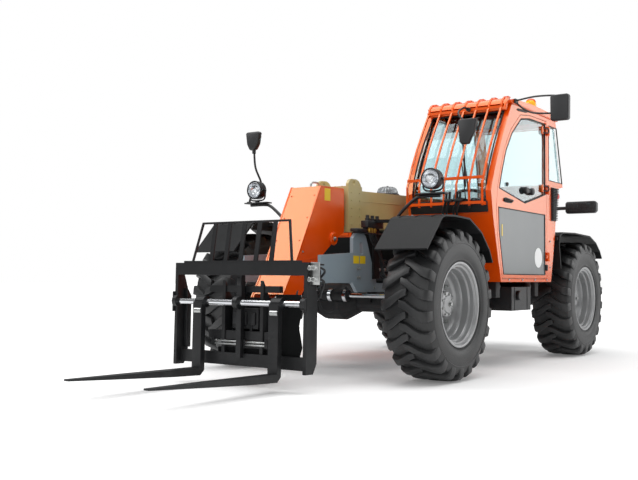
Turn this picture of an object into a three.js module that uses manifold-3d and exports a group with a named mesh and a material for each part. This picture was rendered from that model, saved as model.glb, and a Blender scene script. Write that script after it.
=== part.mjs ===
// Compact telehandler with a two-section boom, pallet forks and four steered wheels.
// Millimetres. +Z is up, -Y is the front, +X is the machine's left.
// Every piece is drawn in the machine frame: x = 0 on the centre plane, y = 0 at the
// front axle, z = 0 on the ground. The finished group is then set on the middle of its footprint.
import * as THREE from "three";
import { mergeVertices } from "three/addons/utils/BufferGeometryUtils.js";
import Module from "manifold-3d";

const wasm = await Module();
wasm.setup();

// ---------- Driving dimensions ----------
const wheelbase = 2925;
const widthOverTyres = 2300;
const tyreDiameter = 1180;
const tyreWidth = 405;
const rimFlangeDiameter = 656;
const kingpinX = 800; // from the centre plane
const steerLinkReach = 195; // from the kingpin to the steering rod
const steerLinkRise = 55; // steering rod above the axle

const fit = 0.5; // gap of a turning or sliding fit
const seat = 0.3; // gap between pieces bolted face to face
const running = 6; // gap round a door or lid

const frameInner = 355; // inner face of a chassis side plate
const framePlate = 30;
const frameBottom = 500;
const frameTop = 740;
const frameRear = 3420;

const cabLeft = 1100;
const cabRight = 300;
const cabWall = 45;
const cabFloor = 763;
const cabTop = 2330;
const roofThick = 55;
const windscreenSill = 1445;
const windscreenHead = 2262;
const doorRear = 1905;
const doorThick = 40;
const glassThick = 8;

const boomPivot = { y: 3150, z: 1400 };
const boomDroop = 1.7; // degrees below level when parked
const outerBoom = { width: 270, height: 320, wall: 12, top: 213 };
const innerBoom = { width: 230, height: 280, wall: 10, length: 2850 };
const boomLength = 3250; // pivot to the front of the collar
const boomEnd = boomPivot.y - boomLength;
const noseWidth = 300;
const nosePlate = 26;

const carriagePivot = { y: boomEnd - 950, z: 360 };
const carriageHalf = 620;
const carriageFront = boomEnd - 1200;
const carriageBottom = 145;
const carriageTop = 888;
const carriagePlate = 28;
const carriageTopBar = 90;
const shaftRadius = 22;
const shaftHeight = 600;
const backrestTop = 1193;
const backrestLean = 8.6; // degrees back
const forkLength = 1210;
const forkWidth = 85;
const forkThick = 45;
const forkTaper = 520; // length over which a blade narrows to its tip
const forkTop = 119;
const forkPlaces = { left: 370, right: -343 };
const carriageLean = 0.9; // degrees tipped back when parked

const liftBase = { y: 2750, z: 820 };
const liftEye = { y: 1750, z: 1100 };
const tiltBase = { y: boomEnd - 202, z: 1100 };
const tiltEye = { y: boomEnd - 930, z: 530 };
const liftSize = { bore: 62, rod: 36, eye: 78, pin: 45 };
const tiltSize = { bore: 48, rod: 28, eye: 56, pin: 26 };

const podInner = 395;
const podOuter = 1080;
const podFront = 800;
const podRear = 2150;
const podBottom = 640;
const podDeck = 1180; // where the hood starts
const podWall = 25;
const hoodRear = 1940;
const hoodTop = 1600;

const axleZ = tyreDiameter / 2;
const wheelX = (widthOverTyres - tyreWidth) / 2;
const frameOuter = frameInner + framePlate;

// ---------- Finishes ----------
const paint = (color, roughness = 0.4, metalness = 0) =>
  new THREE.MeshStandardMaterial({ color, roughness, metalness });
const orange = paint(0xe8571c);
const cream = paint(0xd9c9a3);
const slate = paint(0x59646d);
const black = paint(0x1d1e20, 0.55);
const silver = paint(0xa9abad, 0.45, 0.3);
const chrome = paint(0xd5d7da, 0.15, 1);
const rubber = paint(0x2c2d2f, 0.9);
const grey = paint(0x8f9493, 0.6);
const amber = paint(0xf2a31b, 0.3);
const cloth = paint(0x2b2c2f, 0.95);
const glass = new THREE.MeshStandardMaterial({
  color: 0xcfe0e2,
  roughness: 0.05,
  transparent: true,
  opacity: 0.35,
});

// ---------- Solid helpers ----------
const radians = THREE.MathUtils.degToRad;

function solidOf(geometry) {
  const bare = geometry.clone();
  bare.deleteAttribute("normal");
  bare.deleteAttribute("uv");
  const merged = mergeVertices(bare, 1e-3);
  const corners = merged.index.array;
  const kept = [];
  for (let i = 0; i < corners.length; i += 3) {
    const [a, b, c] = corners.slice(i, i + 3);
    if (a !== b && b !== c && a !== c) kept.push(a, b, c);
  }
  return new wasm.Manifold(
    new wasm.Mesh({
      numProp: 3,
      vertProperties: merged.attributes.position.array,
      triVerts: new Uint32Array(kept),
    }),
  );
}

function geometryOf(solid) {
  const mesh = solid.getMesh();
  const geometry = new THREE.BufferGeometry();
  geometry.setAttribute("position", new THREE.BufferAttribute(mesh.vertProperties, 3));
  geometry.setIndex(new THREE.BufferAttribute(mesh.triVerts, 1));
  geometry.computeVertexNormals();
  return geometry;
}

const join = (first, ...others) => others.reduce((sum, s) => sum.add(s), first);
const cut = (first, ...others) => others.reduce((rest, s) => rest.subtract(s), first);

function block([x0, x1], [y0, y1], [z0, z1]) {
  const box = new THREE.BoxGeometry(x1 - x0, y1 - y0, z1 - z0);
  return solidOf(box.translate((x0 + x1) / 2, (y0 + y1) / 2, (z0 + z1) / 2));
}

const shapeOf = (outline) =>
  outline.isShape ? outline : new THREE.Shape(outline.map(([a, b]) => new THREE.Vector2(a, b)));

function extruded(outline, depth, curveSegments = 8) {
  return new THREE.ExtrudeGeometry(shapeOf(outline), { depth, bevelEnabled: false, curveSegments });
}

// A side outline of (y, z) points, run from x0 to x1.
function sideSlab(outline, [x0, x1], curveSegments) {
  const turn = new THREE.Matrix4().makeBasis(
    new THREE.Vector3(0, 1, 0),
    new THREE.Vector3(0, 0, 1),
    new THREE.Vector3(1, 0, 0),
  );
  return solidOf(extruded(outline, x1 - x0, curveSegments).applyMatrix4(turn).translate(x0, 0, 0));
}

// A front outline of (x, z) points, run from y0 to y1.
function frontSlab(outline, [y0, y1], curveSegments) {
  const turn = new THREE.Matrix4().makeBasis(
    new THREE.Vector3(1, 0, 0),
    new THREE.Vector3(0, 0, 1),
    new THREE.Vector3(0, -1, 0),
  );
  return solidOf(extruded(outline, y1 - y0, curveSegments).applyMatrix4(turn).translate(0, y1, 0));
}

// A plan outline of (x, y) points, run from z0 to z1.
function planSlab(outline, [z0, z1], curveSegments) {
  return solidOf(extruded(outline, z1 - z0, curveSegments).translate(0, 0, z0));
}

function rod(radius, from, to, sides = 12) {
  const a = new THREE.Vector3(...from);
  const b = new THREE.Vector3(...to);
  const span = b.clone().sub(a);
  const bar = new THREE.CylinderGeometry(radius, radius, span.length(), sides);
  const turn = new THREE.Quaternion().setFromUnitVectors(
    new THREE.Vector3(0, 1, 0),
    span.clone().normalize(),
  );
  bar.applyQuaternion(turn);
  const middle = a.add(b).multiplyScalar(0.5);
  return solidOf(bar.translate(middle.x, middle.y, middle.z));
}

// A bent tube through the points, its corners rounded.
function bentTube(radius, points, steps = 7, sides = 6) {
  const curve = new THREE.CatmullRomCurve3(
    points.map((p) => new THREE.Vector3(...p)),
    false,
    "catmullrom",
    0.3,
  );
  const ring = new THREE.Shape().absarc(0, 0, radius, 0, 2 * Math.PI);
  const geometry = new THREE.ExtrudeGeometry(ring, {
    steps,
    curveSegments: sides,
    extrudePath: curve,
    bevelEnabled: false,
  });
  return solidOf(geometry);
}

// A profile of (radius, x) points turned round the X axis through (y, z).
function turnedX(profile, sides, { x = 0, y = 0, z = 0 } = {}, phase = 0) {
  const points = profile.map(([r, a]) => new THREE.Vector2(r, a));
  const lathe = new THREE.LatheGeometry(points, sides, phase);
  return solidOf(lathe.rotateZ(-Math.PI / 2).translate(x, y, z));
}

function turnedZ(profile, sides, [x, y, z]) {
  const points = profile.map(([r, a]) => new THREE.Vector2(r, a));
  return solidOf(new THREE.LatheGeometry(points, sides).rotateX(Math.PI / 2).translate(x, y, z));
}

// A hole that clears a pin of the same radius and sides at any turn.
const pinHole = (radius, from, to, sides = 12) =>
  rod((radius + fit) / Math.cos(Math.PI / sides), from, to, sides);
const pinSides = 24;

// The outline moved inwards by a wall thickness. Points run anticlockwise.
function insetOutline(outline, wall) {
  const count = outline.length;
  const edges = outline.map(([a0, b0], i) => {
    const [a1, b1] = outline[(i + 1) % count];
    const long = Math.hypot(a1 - a0, b1 - b0);
    const [ua, ub] = [(a1 - a0) / long, (b1 - b0) / long];
    return { a: a0 - ub * wall, b: b0 + ua * wall, ua, ub };
  });
  return edges.map((edge, i) => {
    const last = edges[(i + count - 1) % count];
    const cross = last.ua * edge.ub - last.ub * edge.ua;
    if (Math.abs(cross) < 1e-6) return [edge.a, edge.b];
    const t = ((edge.a - last.a) * edge.ub - (edge.b - last.b) * edge.ua) / cross;
    return [last.a + last.ua * t, last.b + last.ub * t];
  });
}

const mirrored = (solid) => solid.mirror([1, 0, 0]);
const both = (solid) => solid.add(mirrored(solid));

// A pin hinge along Z through the origin: the fixed half and the moving half.
// Its leaves reach to +Y (fixed) and -Y (moving) on the low-X side of the pin.
const hingeSize = { pin: 7, knuckle: 14, length: 84, leaf: 44 };

function hingeHalves(depth) {
  const { pin, knuckle, length, leaf } = hingeSize;
  const third = length / 6;
  const end = (low, high) =>
    join(rod(knuckle, [0, 0, low], [0, 0, high]), block([-depth, 2], [5, leaf], [low, high]));
  const fixed = join(
    rod(pin, [0, 0, -length / 2], [0, 0, length / 2]),
    end(-length / 2, -third - fit),
    end(third + fit, length / 2),
    block([-depth, 2], [knuckle + 4, leaf], [-length / 2, length / 2]),
  );
  const barrel = join(
    rod(knuckle, [0, 0, -third], [0, 0, third]),
    block([-depth, 2], [-leaf, -5], [-third, third]),
  );
  return { fixed, moving: cut(barrel, pinHole(pin, [0, 0, -length], [0, 0, length])) };
}

const machine = new THREE.Group();

function node(name, solid, material, parent = machine) {
  const mesh = new THREE.Mesh(geometryOf(solid), material);
  mesh.name = name;
  parent.add(mesh);
  return mesh;
}

// ---------- Wheels ----------
const wheelSides = 28;
const flats = 1 / Math.cos(Math.PI / wheelSides); // corner radius over flat radius
const wheelPhase = Math.PI / wheelSides; // a flat of the tread faces down
const beadRadius = rimFlangeDiameter / 2 - 19;
const flangeRadius = rimFlangeDiameter / 2;
const beadHalf = tyreWidth / 2 - 26;

function tyreSolid() {
  const half = tyreWidth / 2;
  const tread = axleZ * flats;
  const outer = [
    [beadRadius + seat, beadHalf - 26],
    [beadRadius + seat, beadHalf],
    [flangeRadius + 3, beadHalf],
    [axleZ - 135, half],
    [axleZ - 34, half - 12],
    [tread, half - 42],
  ];
  const inner = [
    [axleZ - 46, half - 62],
    [flangeRadius + 72, half - 34],
  ];
  const flip = ([r, a]) => [r, -a];
  const loop = [...outer.map(flip), ...outer.toReversed(), ...inner.toReversed(), ...inner.map(flip)];
  return turnedX([...loop, loop[0]], wheelSides, {}, wheelPhase);
}

const discFace = -17; // inboard face of the wheel disc from the tyre's middle plane

function rimSolid() {
  const lip = beadHalf + 8.5;
  const barrel = beadRadius - 11;
  const profile = [
    [0, discFace],
    [barrel, discFace],
    [barrel, -lip],
    [flangeRadius, -lip],
    [flangeRadius, -beadHalf - seat],
    [beadRadius, -beadHalf - seat],
    [beadRadius, beadHalf + seat],
    [flangeRadius, beadHalf + seat],
    [flangeRadius, lip],
    [barrel, lip],
    [barrel, 30],
    [235, -4],
    [115, -4],
    [105, 70],
    [0, 82],
  ];
  return turnedX(profile, wheelSides, {}, wheelPhase);
}

// ---------- Axles and knuckles ----------
const kingpinHalf = 150;
const yokeTop = 190;

// facing is -1 where the steering cylinder lies ahead of the axle and 1 where it lies behind.
function axleSolid(facing) {
  const beam = rod(80, [-672, 0, 0], [672, 0, 0], 14);
  const housing = turnedX(
    [
      [0, -230],
      [85, -230],
      [150, -95],
      [150, 95],
      [85, 230],
      [0, 230],
    ],
    16,
  );
  const post = block([640, 700], [-32, 32], [-yokeTop, yokeTop]);
  const arm = [
    [690, -60],
    [kingpinX, -60],
    [kingpinX + 42, -42],
    [kingpinX + 60, 0],
    [kingpinX + 42, 42],
    [kingpinX, 60],
    [690, 60],
  ];
  const upper = planSlab(arm, [kingpinHalf + fit, yokeTop]);
  const lower = planSlab(arm, [-yokeTop, -kingpinHalf - fit]);
  const pad = block([frameInner, frameOuter], [-110, 110], [0, frameSaddle - axleZ - seat]);
  const link = facing * steerLinkReach;
  const barrel = rod(38, [-230, link, steerLinkRise], [230, link, steerLinkRise], 12);
  const bore = rod(steerRodRadius + fit, [-240, link, steerLinkRise], [240, link, steerLinkRise], 12);
  const carrier = block(
    [-70, 70],
    [Math.min(0, link), Math.max(0, link)],
    [steerLinkRise - 30, steerLinkRise + 10],
  );
  return cut(join(beam, housing, both(join(post, upper, lower, pad)), carrier, barrel), bore);
}

const frameSaddle = 675; // underside of the chassis over an axle
const steerRodRadius = 17;

function steerRodSolid() {
  const reach = kingpinX - 55;
  const bar = rod(steerRodRadius, [-reach, 0, 0], [reach, 0, 0], 12);
  const stud = rod(15, [reach - 4, 0, 0], [reach - 4, 0, 30 - fit], 12);
  return join(bar, both(join(rod(26, [reach, 0, -22], [reach, 0, 22], 12), stud)));
}

// The left-hand knuckle round its kingpin; the wheel stands on its outer face.
function knuckleSolid(facing) {
  const faceX = wheelX + discFace - fit - kingpinX;
  const barrel = rod(55, [0, 0, -kingpinHalf], [0, 0, kingpinHalf], 14);
  const drum = rod(122, [10, 0, 0], [faceX, 0, 0], 20);
  const arm = planSlab(
    [
      [-25, -20 * facing],
      [-25, 20 * facing],
      [-30, 195 * facing],
      [-55, 222 * facing],
      [-82, 195 * facing],
      [-55, 20 * facing],
      [-50, -20 * facing],
    ],
    [steerLinkRise + 30, steerLinkRise + 55],
  );
  return join(barrel, drum, arm);
}

// ---------- Chassis ----------
const towerTop = 1140;

function sidePlateOutline() {
  const rearAxle = wheelbase;
  return [
    [-800, 748],
    [-370, 748],
    [-300, frameSaddle],
    [140, frameSaddle],
    [210, frameBottom],
    [rearAxle - 220, frameBottom],
    [rearAxle - 150, frameSaddle],
    [rearAxle + 250, frameSaddle],
    [rearAxle + 310, 560],
    [frameRear, 560],
    [frameRear, 1100],
    [boomPivot.y + 170, boomPivot.z + 60],
    [boomPivot.y + 80, boomPivot.z + 150],
    [boomPivot.y - 90, boomPivot.z + 150],
    [boomPivot.y - 190, boomPivot.z + 60],
    [liftBase.y - 110, liftBase.z + 80],
    [liftBase.y - 190, frameTop],
    [-10, frameTop],
    [-178, towerTop - 22],
    [-208, towerTop],
    [-322, towerTop],
    [-365, towerTop - 40],
    [-365, 984],
    [-800, 956],
  ];
}

function chassisFrame() {
  const plate = sideSlab(sidePlateOutline(), [frameInner, frameOuter]);
  const slot = sideSlab(
    [
      [-262, 990],
      [-240, 972],
      [-216, 986],
      [-228, 1062],
      [-250, 1076],
      [-272, 1064],
    ],
    [frameInner - 5, frameOuter + 5],
  );
  const across = [-frameInner - 2, frameInner + 2];
  const frontTube = block(across, [-330, -250], [760, 850]);
  const belly = block(across, [230, 1500], [frameBottom, frameBottom + 15]);
  const middle = block(across, [1500, 1580], [frameBottom, 640]);
  const rearBeam = block(across, [2560, 2640], [frameBottom, 640]);
  const pinEnd = (x) => [x, liftBase.y, liftBase.z];
  const liftPin = rod(liftSize.pin, pinEnd(across[0]), pinEnd(across[1]), pinSides);
  const rearPlate = block(across, [frameRear - 30, frameRear], [560, 1080]);
  const outrigger = (y, x0, x1, top) => block([x0, x1], [y, y + 80], [frameTop - 110, top]);
  const cabArms = [950, 1850].map((y) => outrigger(y, frameOuter - 5, 1000, cabFloor - seat));
  const podArms = [950, 1900].map((y) =>
    block([-1000, -frameOuter + 5], [y, y + 80], [podBottom - 70, podBottom - seat]),
  );
  return join(
    both(cut(plate, slot)),
    frontTube,
    belly,
    middle,
    rearBeam,
    liftPin,
    rearPlate,
    ...cabArms,
    ...podArms,
  );
}

function counterweight() {
  const front = frameRear + seat;
  const outline = [
    [front, 520],
    [front + 170, 520],
    [front + 230, 600],
    [front + 230, 1060],
    [front + 140, 1160],
    [front, 1160],
  ];
  const mass = sideSlab(outline, [-440, 440]);
  const jaw = block([-70, 70], [front + 200, front + 300], [620, 760]);
  const mouth = block([-80, 80], [front + 240, front + 310], [670, 710]);
  return cut(join(mass, jaw), mouth);
}

// ---------- Fenders ----------
const fenderOuterX = 1130;
const fenderInnerX = 690;
const fenderThick = 14;

function strip(line, thick) {
  const inner = line.map(([a, b], i) => {
    const [a0, b0] = line[Math.max(i - 1, 0)];
    const [a1, b1] = line[Math.min(i + 1, line.length - 1)];
    const long = Math.hypot(a1 - a0, b1 - b0);
    return [a + ((b1 - b0) / long) * thick, b - ((a1 - a0) / long) * thick];
  });
  return [...line, ...inner.toReversed()];
}

const frontFenderLine = [
  [-545, 1005],
  [-310, 1246],
  [-250, 1266],
  [-100, 1273],
  [165, 1264],
  [388, 1165],
  [542, 1025],
  [602, 927],
];

const rearFenderLine = [
  [2205, 890],
  [2160, 1120],
  [2178, 1215],
  [2262, 1252],
  [2619, 1262],
  [3093, 1250],
  [3300, 1185],
  [3430, 1100],
  [3499, 1026],
];

function fender(line, armY, plateTop) {
  const sheet = sideSlab(strip(line, fenderThick), [fenderInnerX, fenderOuterX]);
  const face = frameOuter + seat;
  const under = 1236;
  const arm = block([face, fenderInnerX + 60], [armY - 45, armY + 45], [under, under + 22]);
  const foot = block([face, face + 14], [armY - 45, armY + 45], [plateTop - 150, under + 22]);
  return join(sheet, arm, foot);
}

// ---------- Cab ----------
const frontEdge = (() => {
  const screen = new THREE.QuadraticBezierCurve(
    new THREE.Vector2(632, 1526),
    new THREE.Vector2(722, 1810),
    new THREE.Vector2(1074, cabTop),
  );
  return [[833, cabFloor], [670, 1321], ...screen.getPoints(7).map((p) => [p.x, p.y])];
})();

// Distance of the cab's front face from the front axle at a height.
function frontY(z) {
  const i = Math.max(1, frontEdge.findIndex(([, b]) => b >= z));
  const [y0, z0] = frontEdge[i - 1];
  const [y1, z1] = frontEdge[i];
  return y0 + ((y1 - y0) * (z - z0)) / (z1 - z0);
}

const cabRear = [
  [2150, cabTop],
  [2345, 1700],
  [2190, 1670],
  [2128, 1219],
  [2015, cabFloor],
];

const cabOutline = () => [...frontEdge, ...cabRear].toReversed();

// A curved sheet that follows the cab's front between two heights.
function frontSheet(low, high, gap, thick, [x0, x1], count = 8) {
  const heights = Array.from({ length: count + 1 }, (_, i) => low + ((high - low) * i) / count);
  const near = heights.map((z) => [frontY(z) + gap, z]);
  const far = heights.map((z) => [frontY(z) + gap + thick, z]);
  return sideSlab([...near, ...far.toReversed()].toReversed(), [x0, x1]);
}

const doorOutline = [
  [doorRear, 795],
  [doorRear, 2290],
  [1480, 2282],
  [1262, 2252],
  [1050, 2092],
  [912, 1912],
  [828, 1732],
  [766, 1560],
  [744, 1400],
  [760, 1180],
  [862, 795],
];

const doorWindow = [
  [1866, 1590],
  [1866, 2262],
  [1480, 2252],
  [1280, 2222],
  [1075, 2066],
  [944, 1899],
  [858, 1717],
  [800, 1560],
  [1368, 1474],
];

const doorPanelHole = [
  [1860, 830],
  [1860, 1396],
  [782, 1396],
  [795, 1200],
  [888, 830],
];

const rearWindow = { low: 1735, high: 2262, sideFront: 1965 };

function rearY(z) {
  const [yTop, zTop] = cabRear[0];
  const [yLow, zLow] = cabRear[1];
  return yLow + ((yTop - yLow) * (z - zLow)) / (zTop - zLow);
}

function rearSheet(low, high, gap, thick, xs) {
  const outline = [
    [rearY(low) - gap, low],
    [rearY(high) - gap, high],
    [rearY(high) - gap - thick, high],
    [rearY(low) - gap - thick, low],
  ];
  return sideSlab(outline, xs);
}

function cabFrame() {
  const outline = cabOutline();
  const whole = sideSlab(outline, [cabRight, cabLeft]);
  const inside = insetOutline(outline, cabWall).map(([y, z]) =>
    z > cabTop - 2 * cabWall ? [y, cabTop + 60] : [y, z],
  );
  const hollow = sideSlab(inside, [cabRight + cabWall, cabLeft - cabWall]);
  const inner = [cabRight + cabWall + 5, cabLeft - cabWall - 5];
  const screenHole = frontSheet(windscreenSill, windscreenHead, -60, 240, inner);
  const rearHole = rearSheet(rearWindow.low, rearWindow.high, -60, 240, [inner[0], cabLeft + 10]);
  const doorHole = sideSlab(
    insetOutline(doorOutline, -running),
    [cabLeft - cabWall - 10, cabLeft + 10],
  );
  const quarterHole = block(
    [cabLeft - cabWall - 10, cabLeft + 10],
    [rearWindow.sideFront, cabRear[1][0]],
    [rearWindow.low, rearWindow.high],
  );
  const sideHole = sideSlab(rightWindow, [cabRight - 10, cabRight + cabWall + 10]);
  const beam = (y) => block([cabRight + 10, cabLeft - 10], [y, y + 60], [cabTop - 62, cabTop - 3]);
  const shell = cut(whole, hollow, screenHole, rearHole, doorHole, quarterHole, sideHole);
  const hinges = doorHingeHeights.map((z) => hingeHalves(doorPin.stand).fixed.translate([...doorPin.at, z]));
  return join(shell, beam(1070), beam(2080), ...hinges);
}

const doorPin = { at: [cabLeft + 15, doorRear + 3], stand: 20 };
const doorHingeHeights = [1000, 1640, 2200];

function doorFrame() {
  const leaf = sideSlab(doorOutline, doorX);
  const through = [doorX[0] - 5, doorX[1] + 5];
  const hinges = doorHingeHeights.map((z) => hingeHalves(doorPin.stand).moving.translate([...doorPin.at, z]));
  return join(cut(leaf, sideSlab(doorWindow, through), sideSlab(doorPanelHole, through)), ...hinges);
}

const rightWindow = [
  [2090, 1720],
  [2000, 2265],
  [1130, 2265],
  [900, 1960],
  [760, 1640],
  [740, 1500],
  [2090, 1500],
];

const paneGap = 0.6; // round a glass in its rebate

function sidePane(outline, outerX, side) {
  const x0 = side > 0 ? outerX - 18 - glassThick : outerX + 18;
  return sideSlab(insetOutline(outline, paneGap), [x0, x0 + glassThick]);
}

// The rear glass wraps round the left corner up to the door post.
function rearGlass() {
  const low = rearWindow.low + paneGap;
  const high = rearWindow.high - paneGap;
  const left = cabLeft - 18;
  const back = rearSheet(low, high, 8, glassThick, [cabRight + cabWall + 5 + paneGap, left]);
  const quarter = sideSlab(
    [
      [rearWindow.sideFront + paneGap, low],
      [rearY(low) - 10, low],
      [rearY(high) - 10, high],
      [rearWindow.sideFront + paneGap, high],
    ],
    [left - glassThick, left],
  );
  return join(back, quarter);
}

function cabRoof() {
  const outline = [
    [2175, cabTop + seat],
    [2190, cabTop + 30],
    [2150, cabTop + roofThick],
    [1500, cabTop + roofThick + 5],
    [1090, cabTop + roofThick - 15],
    [1045, cabTop + 22],
    [1050, cabTop + seat],
  ];
  return sideSlab(outline, [cabRight - 12, cabLeft + 12]);
}

function windscreenGuard() {
  const nearest = (low, high) => Math.min(frontY(low), frontY(high));
  const count = 7;
  const width = 14;
  const left = cabLeft - 60;
  const right = cabRight + 30;
  const bars = Array.from({ length: count }, (_, i) => {
    const x = right + ((left - right) * i) / (count - 1);
    return frontSheet(1400, 2315, -75, 18, [x - width / 2, x + width / 2], 5);
  });
  const crossBar = (z) =>
    block([right - 8, left + 8], [frontY(z) - 78, frontY(z) - 54], [z - 12, z + 12]);
  const stays = [right, left].flatMap((x) =>
    [1420, 2295].map((z) =>
      block([x - 12, x + 12], [frontY(z) - 60, nearest(z - 14, z + 14) - seat], [z - 14, z + 14]),
    ),
  );
  return join(bars[0], ...bars.slice(1), crossBar(1425), crossBar(1640), crossBar(2290), ...stays);
}

// ---------- Cab fittings ----------
const seatX = (cabLeft + cabRight) / 2;
const floorTop = cabFloor + cabWall;

function seatBase() {
  return block([seatX - 190, seatX + 190], [1520, 1900], [floorTop + seat, floorTop + 330]);
}

function seatCushion() {
  const low = floorTop + 330 + seat;
  const outline = [
    [1480, low],
    [1930, low],
    [1930, low + 80],
    [1520, low + 110],
    [1480, low + 85],
  ];
  return sideSlab(outline, [seatX - 235, seatX + 235]);
}

function seatBack() {
  const low = floorTop + 330 + seat;
  const outline = [
    [1930 + fit, low + 10],
    [2010, low + 10],
    [2090, low + 560],
    [2060, low + 590],
    [1990, low + 590],
    [1930 + fit, low + 120],
  ];
  return sideSlab(outline, [seatX - 225, seatX + 225]);
}

const wheelHub = { y: 1180, z: 1490 };
const columnTilt = 28;

function dashboard() {
  const console = sideSlab(
    [
      [frontY(floorTop) + cabWall + 15, floorTop + seat],
      [1010, floorTop + seat],
      [1030, 1180],
      [1000, 1350],
      [760, 1400],
      [frontY(1300) + cabWall + 15, 1300],
    ],
    [seatX - 180, seatX + 180],
  );
  const lean = radians(columnTilt);
  const foot = [seatX, wheelHub.y - 330 * Math.sin(lean), wheelHub.z - 330 * Math.cos(lean)];
  const head = [
    seatX,
    wheelHub.y - 26 * Math.sin(lean),
    wheelHub.z - 26 * Math.cos(lean),
  ];
  return join(console, rod(38, foot, head, 12));
}

function steeringWheelSolid() {
  const rim = new THREE.TorusGeometry(190, 14, 6, 20);
  const hub = rod(45, [0, 0, -25], [0, 0, 12], 16);
  const spokes = [90, 210, 330].map((angle) => {
    const a = radians(angle);
    return rod(11, [0, 0, -4], [186 * Math.cos(a), 186 * Math.sin(a), 0], 6);
  });
  return join(solidOf(rim), hub, ...spokes);
}

// ---------- Engine side ----------
const hoodEdge = -podInner - podWall - running;
const hoodPin = { x: -podInner - 12, z: hoodTop + 6 };
const hoodHingeAt = [podFront + 160, hoodRear - 160];

// The hinge turned so that its pin lies along Y, its fixed leaf down and its moving leaf outboard.
function hoodHinge(half) {
  return hoodHingeAt.map((y) => half.translate([hoodPin.x, y, hoodPin.z]));
}

function hoodHingeHalves() {
  const { pin, knuckle, length } = hingeSize;
  const third = length / 6;
  const lug = (low, high) =>
    join(
      rod(knuckle, [0, low, 0], [0, high, 0]),
      block([-12, 12], [low, high], [-40, 0]),
    );
  const fixed = join(
    rod(pin, [0, -length / 2, 0], [0, length / 2, 0]),
    lug(-length / 2, -third - fit),
    lug(third + fit, length / 2),
  );
  const tongue = block([-60, 0], [-third, third], [-knuckle, -2]);
  const barrel = join(rod(knuckle, [0, -third, 0], [0, third, 0]), tongue);
  return { fixed, moving: cut(barrel, pinHole(pin, [0, -length, 0], [0, length, 0])) };
}

function enginePod() {
  const outer = block([-podOuter, -podInner], [podFront, podRear], [podBottom, podDeck]);
  const inner = block(
    [-podOuter + podWall, -podInner - podWall],
    [podFront + podWall, hoodRear - podWall],
    [podBottom + podWall, podDeck + 10],
  );
  const cooler = block(
    [-podOuter, -podInner],
    [hoodRear, podRear],
    [podDeck - 5, hoodTop - 20],
  );
  const innerWall = block(
    [-podInner - podWall, -podInner],
    [podFront, hoodRear + 5],
    [podDeck - 5, hoodTop - 20],
  );
  return join(cut(join(outer, cooler), inner), innerWall, ...hoodHinge(hoodHingeHalves().fixed));
}

function engineHood() {
  const low = podDeck + 5;
  const outline = [
    [-podOuter, low],
    [hoodEdge, low],
    [hoodEdge, hoodTop],
    [hoodEdge - 150, hoodTop],
    [-podOuter + 90, hoodTop - 40],
    [-podOuter, hoodTop - 170],
  ];
  const shell = frontSlab(outline, [podFront, hoodRear - running]);
  const open = insetOutline(outline, podWall).map(([x, z]) => [
    x > hoodEdge - podWall - 5 ? hoodEdge + 20 : x,
    z < low + podWall + 5 ? low - 20 : z,
  ]);
  const inside = frontSlab(open, [podFront + podWall, hoodRear - running - podWall]);
  return join(cut(shell, inside), ...hoodHinge(hoodHingeHalves().moving));
}

function engineBlock() {
  const floor = podBottom + podWall + seat;
  const sump = block([-900, -560], [1060, 1760], [floor, floor + 160]);
  return join(sump, block([-960, -500], [980, 1820], [floor + 150, floor + 560]));
}

function precleaner() {
  const deck = hoodTop - 20 + seat;
  return turnedZ(
    [
      [0, 0],
      [62, 0],
      [62, 55],
      [126, 75],
      [130, 130],
      [112, 175],
      [60, 205],
      [0, 212],
    ],
    24,
    [-760, 2076, deck],
  );
}

function fuelTank() {
  const face = frameOuter + seat;
  const inner = block([face, 800], [1120, 1310], [520, 690]);
  const outer = block([face, 1000], [1300, 1750], [502, 715]);
  return join(inner, outer);
}

// ---------- Lamps, mirrors, beacon ----------
function headlampLeft() {
  const lamp = turnedZ(
    [
      [0, 0],
      [55, 0],
      [84, 45],
      [84, 96],
      [76, 100],
      [0, 100],
    ],
    24,
    [0, 0, 0],
  )
    .rotate([90, 0, 0])
    .translate([890, 50, 1570]);
  const yoke = block([806, 974], [-8, 14], [1452, 1470]);
  const post = block([874, 906], [-8, 14], [1460, 1510]);
  const plate = block([750, 1010], [-40, 40], [1448, 1460]);
  const bar = frontSlab(
    [
      [540, 1258 + seat],
      [600, 1258 + seat],
      [780, 1420],
      [780, 1452],
      [745, 1452],
    ],
    [-22, 22],
  );
  return join(lamp, yoke, post, plate, bar);
}

function leftMirror() {
  const head = frontSlab(
    [
      [1474, 2130],
      [1608, 2130],
      [1620, 2144],
      [1622, 2336],
      [1610, 2350],
      [1474, 2350],
      [1462, 2336],
      [1464, 2144],
    ],
    [1020, 1080],
  );
  const root = cabLeft + 12 + seat;
  const upper = bentTube(8, [[root + 8, 1120, cabTop + 28], [1300, 1090, 2368], [1540, 1052, 2346]]);
  const lower = bentTube(8, [[root + 8, 1120, cabTop + 12], [1280, 1090, 2230], [1470, 1052, 2200]]);
  const foot = block([root, root + 18], [1090, 1150], [cabTop, cabTop + 40]);
  return join(head, upper, lower, foot);
}

function rightMirror() {
  const deck = 1460 + seat;
  const head = frontSlab(
    [
      [-1046, 1955],
      [-984, 1955],
      [-948, 2010],
      [-930, 2110],
      [-936, 2125],
      [-1084, 2125],
      [-1090, 2110],
      [-1076, 2010],
    ],
    [60, 118],
  );
  const foot = block([-1009, -979], [-5, 35], [deck, deck + 12]);
  const tube = bentTube(
    11,
    [
      [-994, 15, deck + 6],
      [-996, 60, 1530],
      [-1000, 200, 1640],
      [-1008, 100, 1800],
      [-1010, 92, 1965],
    ],
    12,
  );
  return join(head, foot, tube);
}

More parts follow.
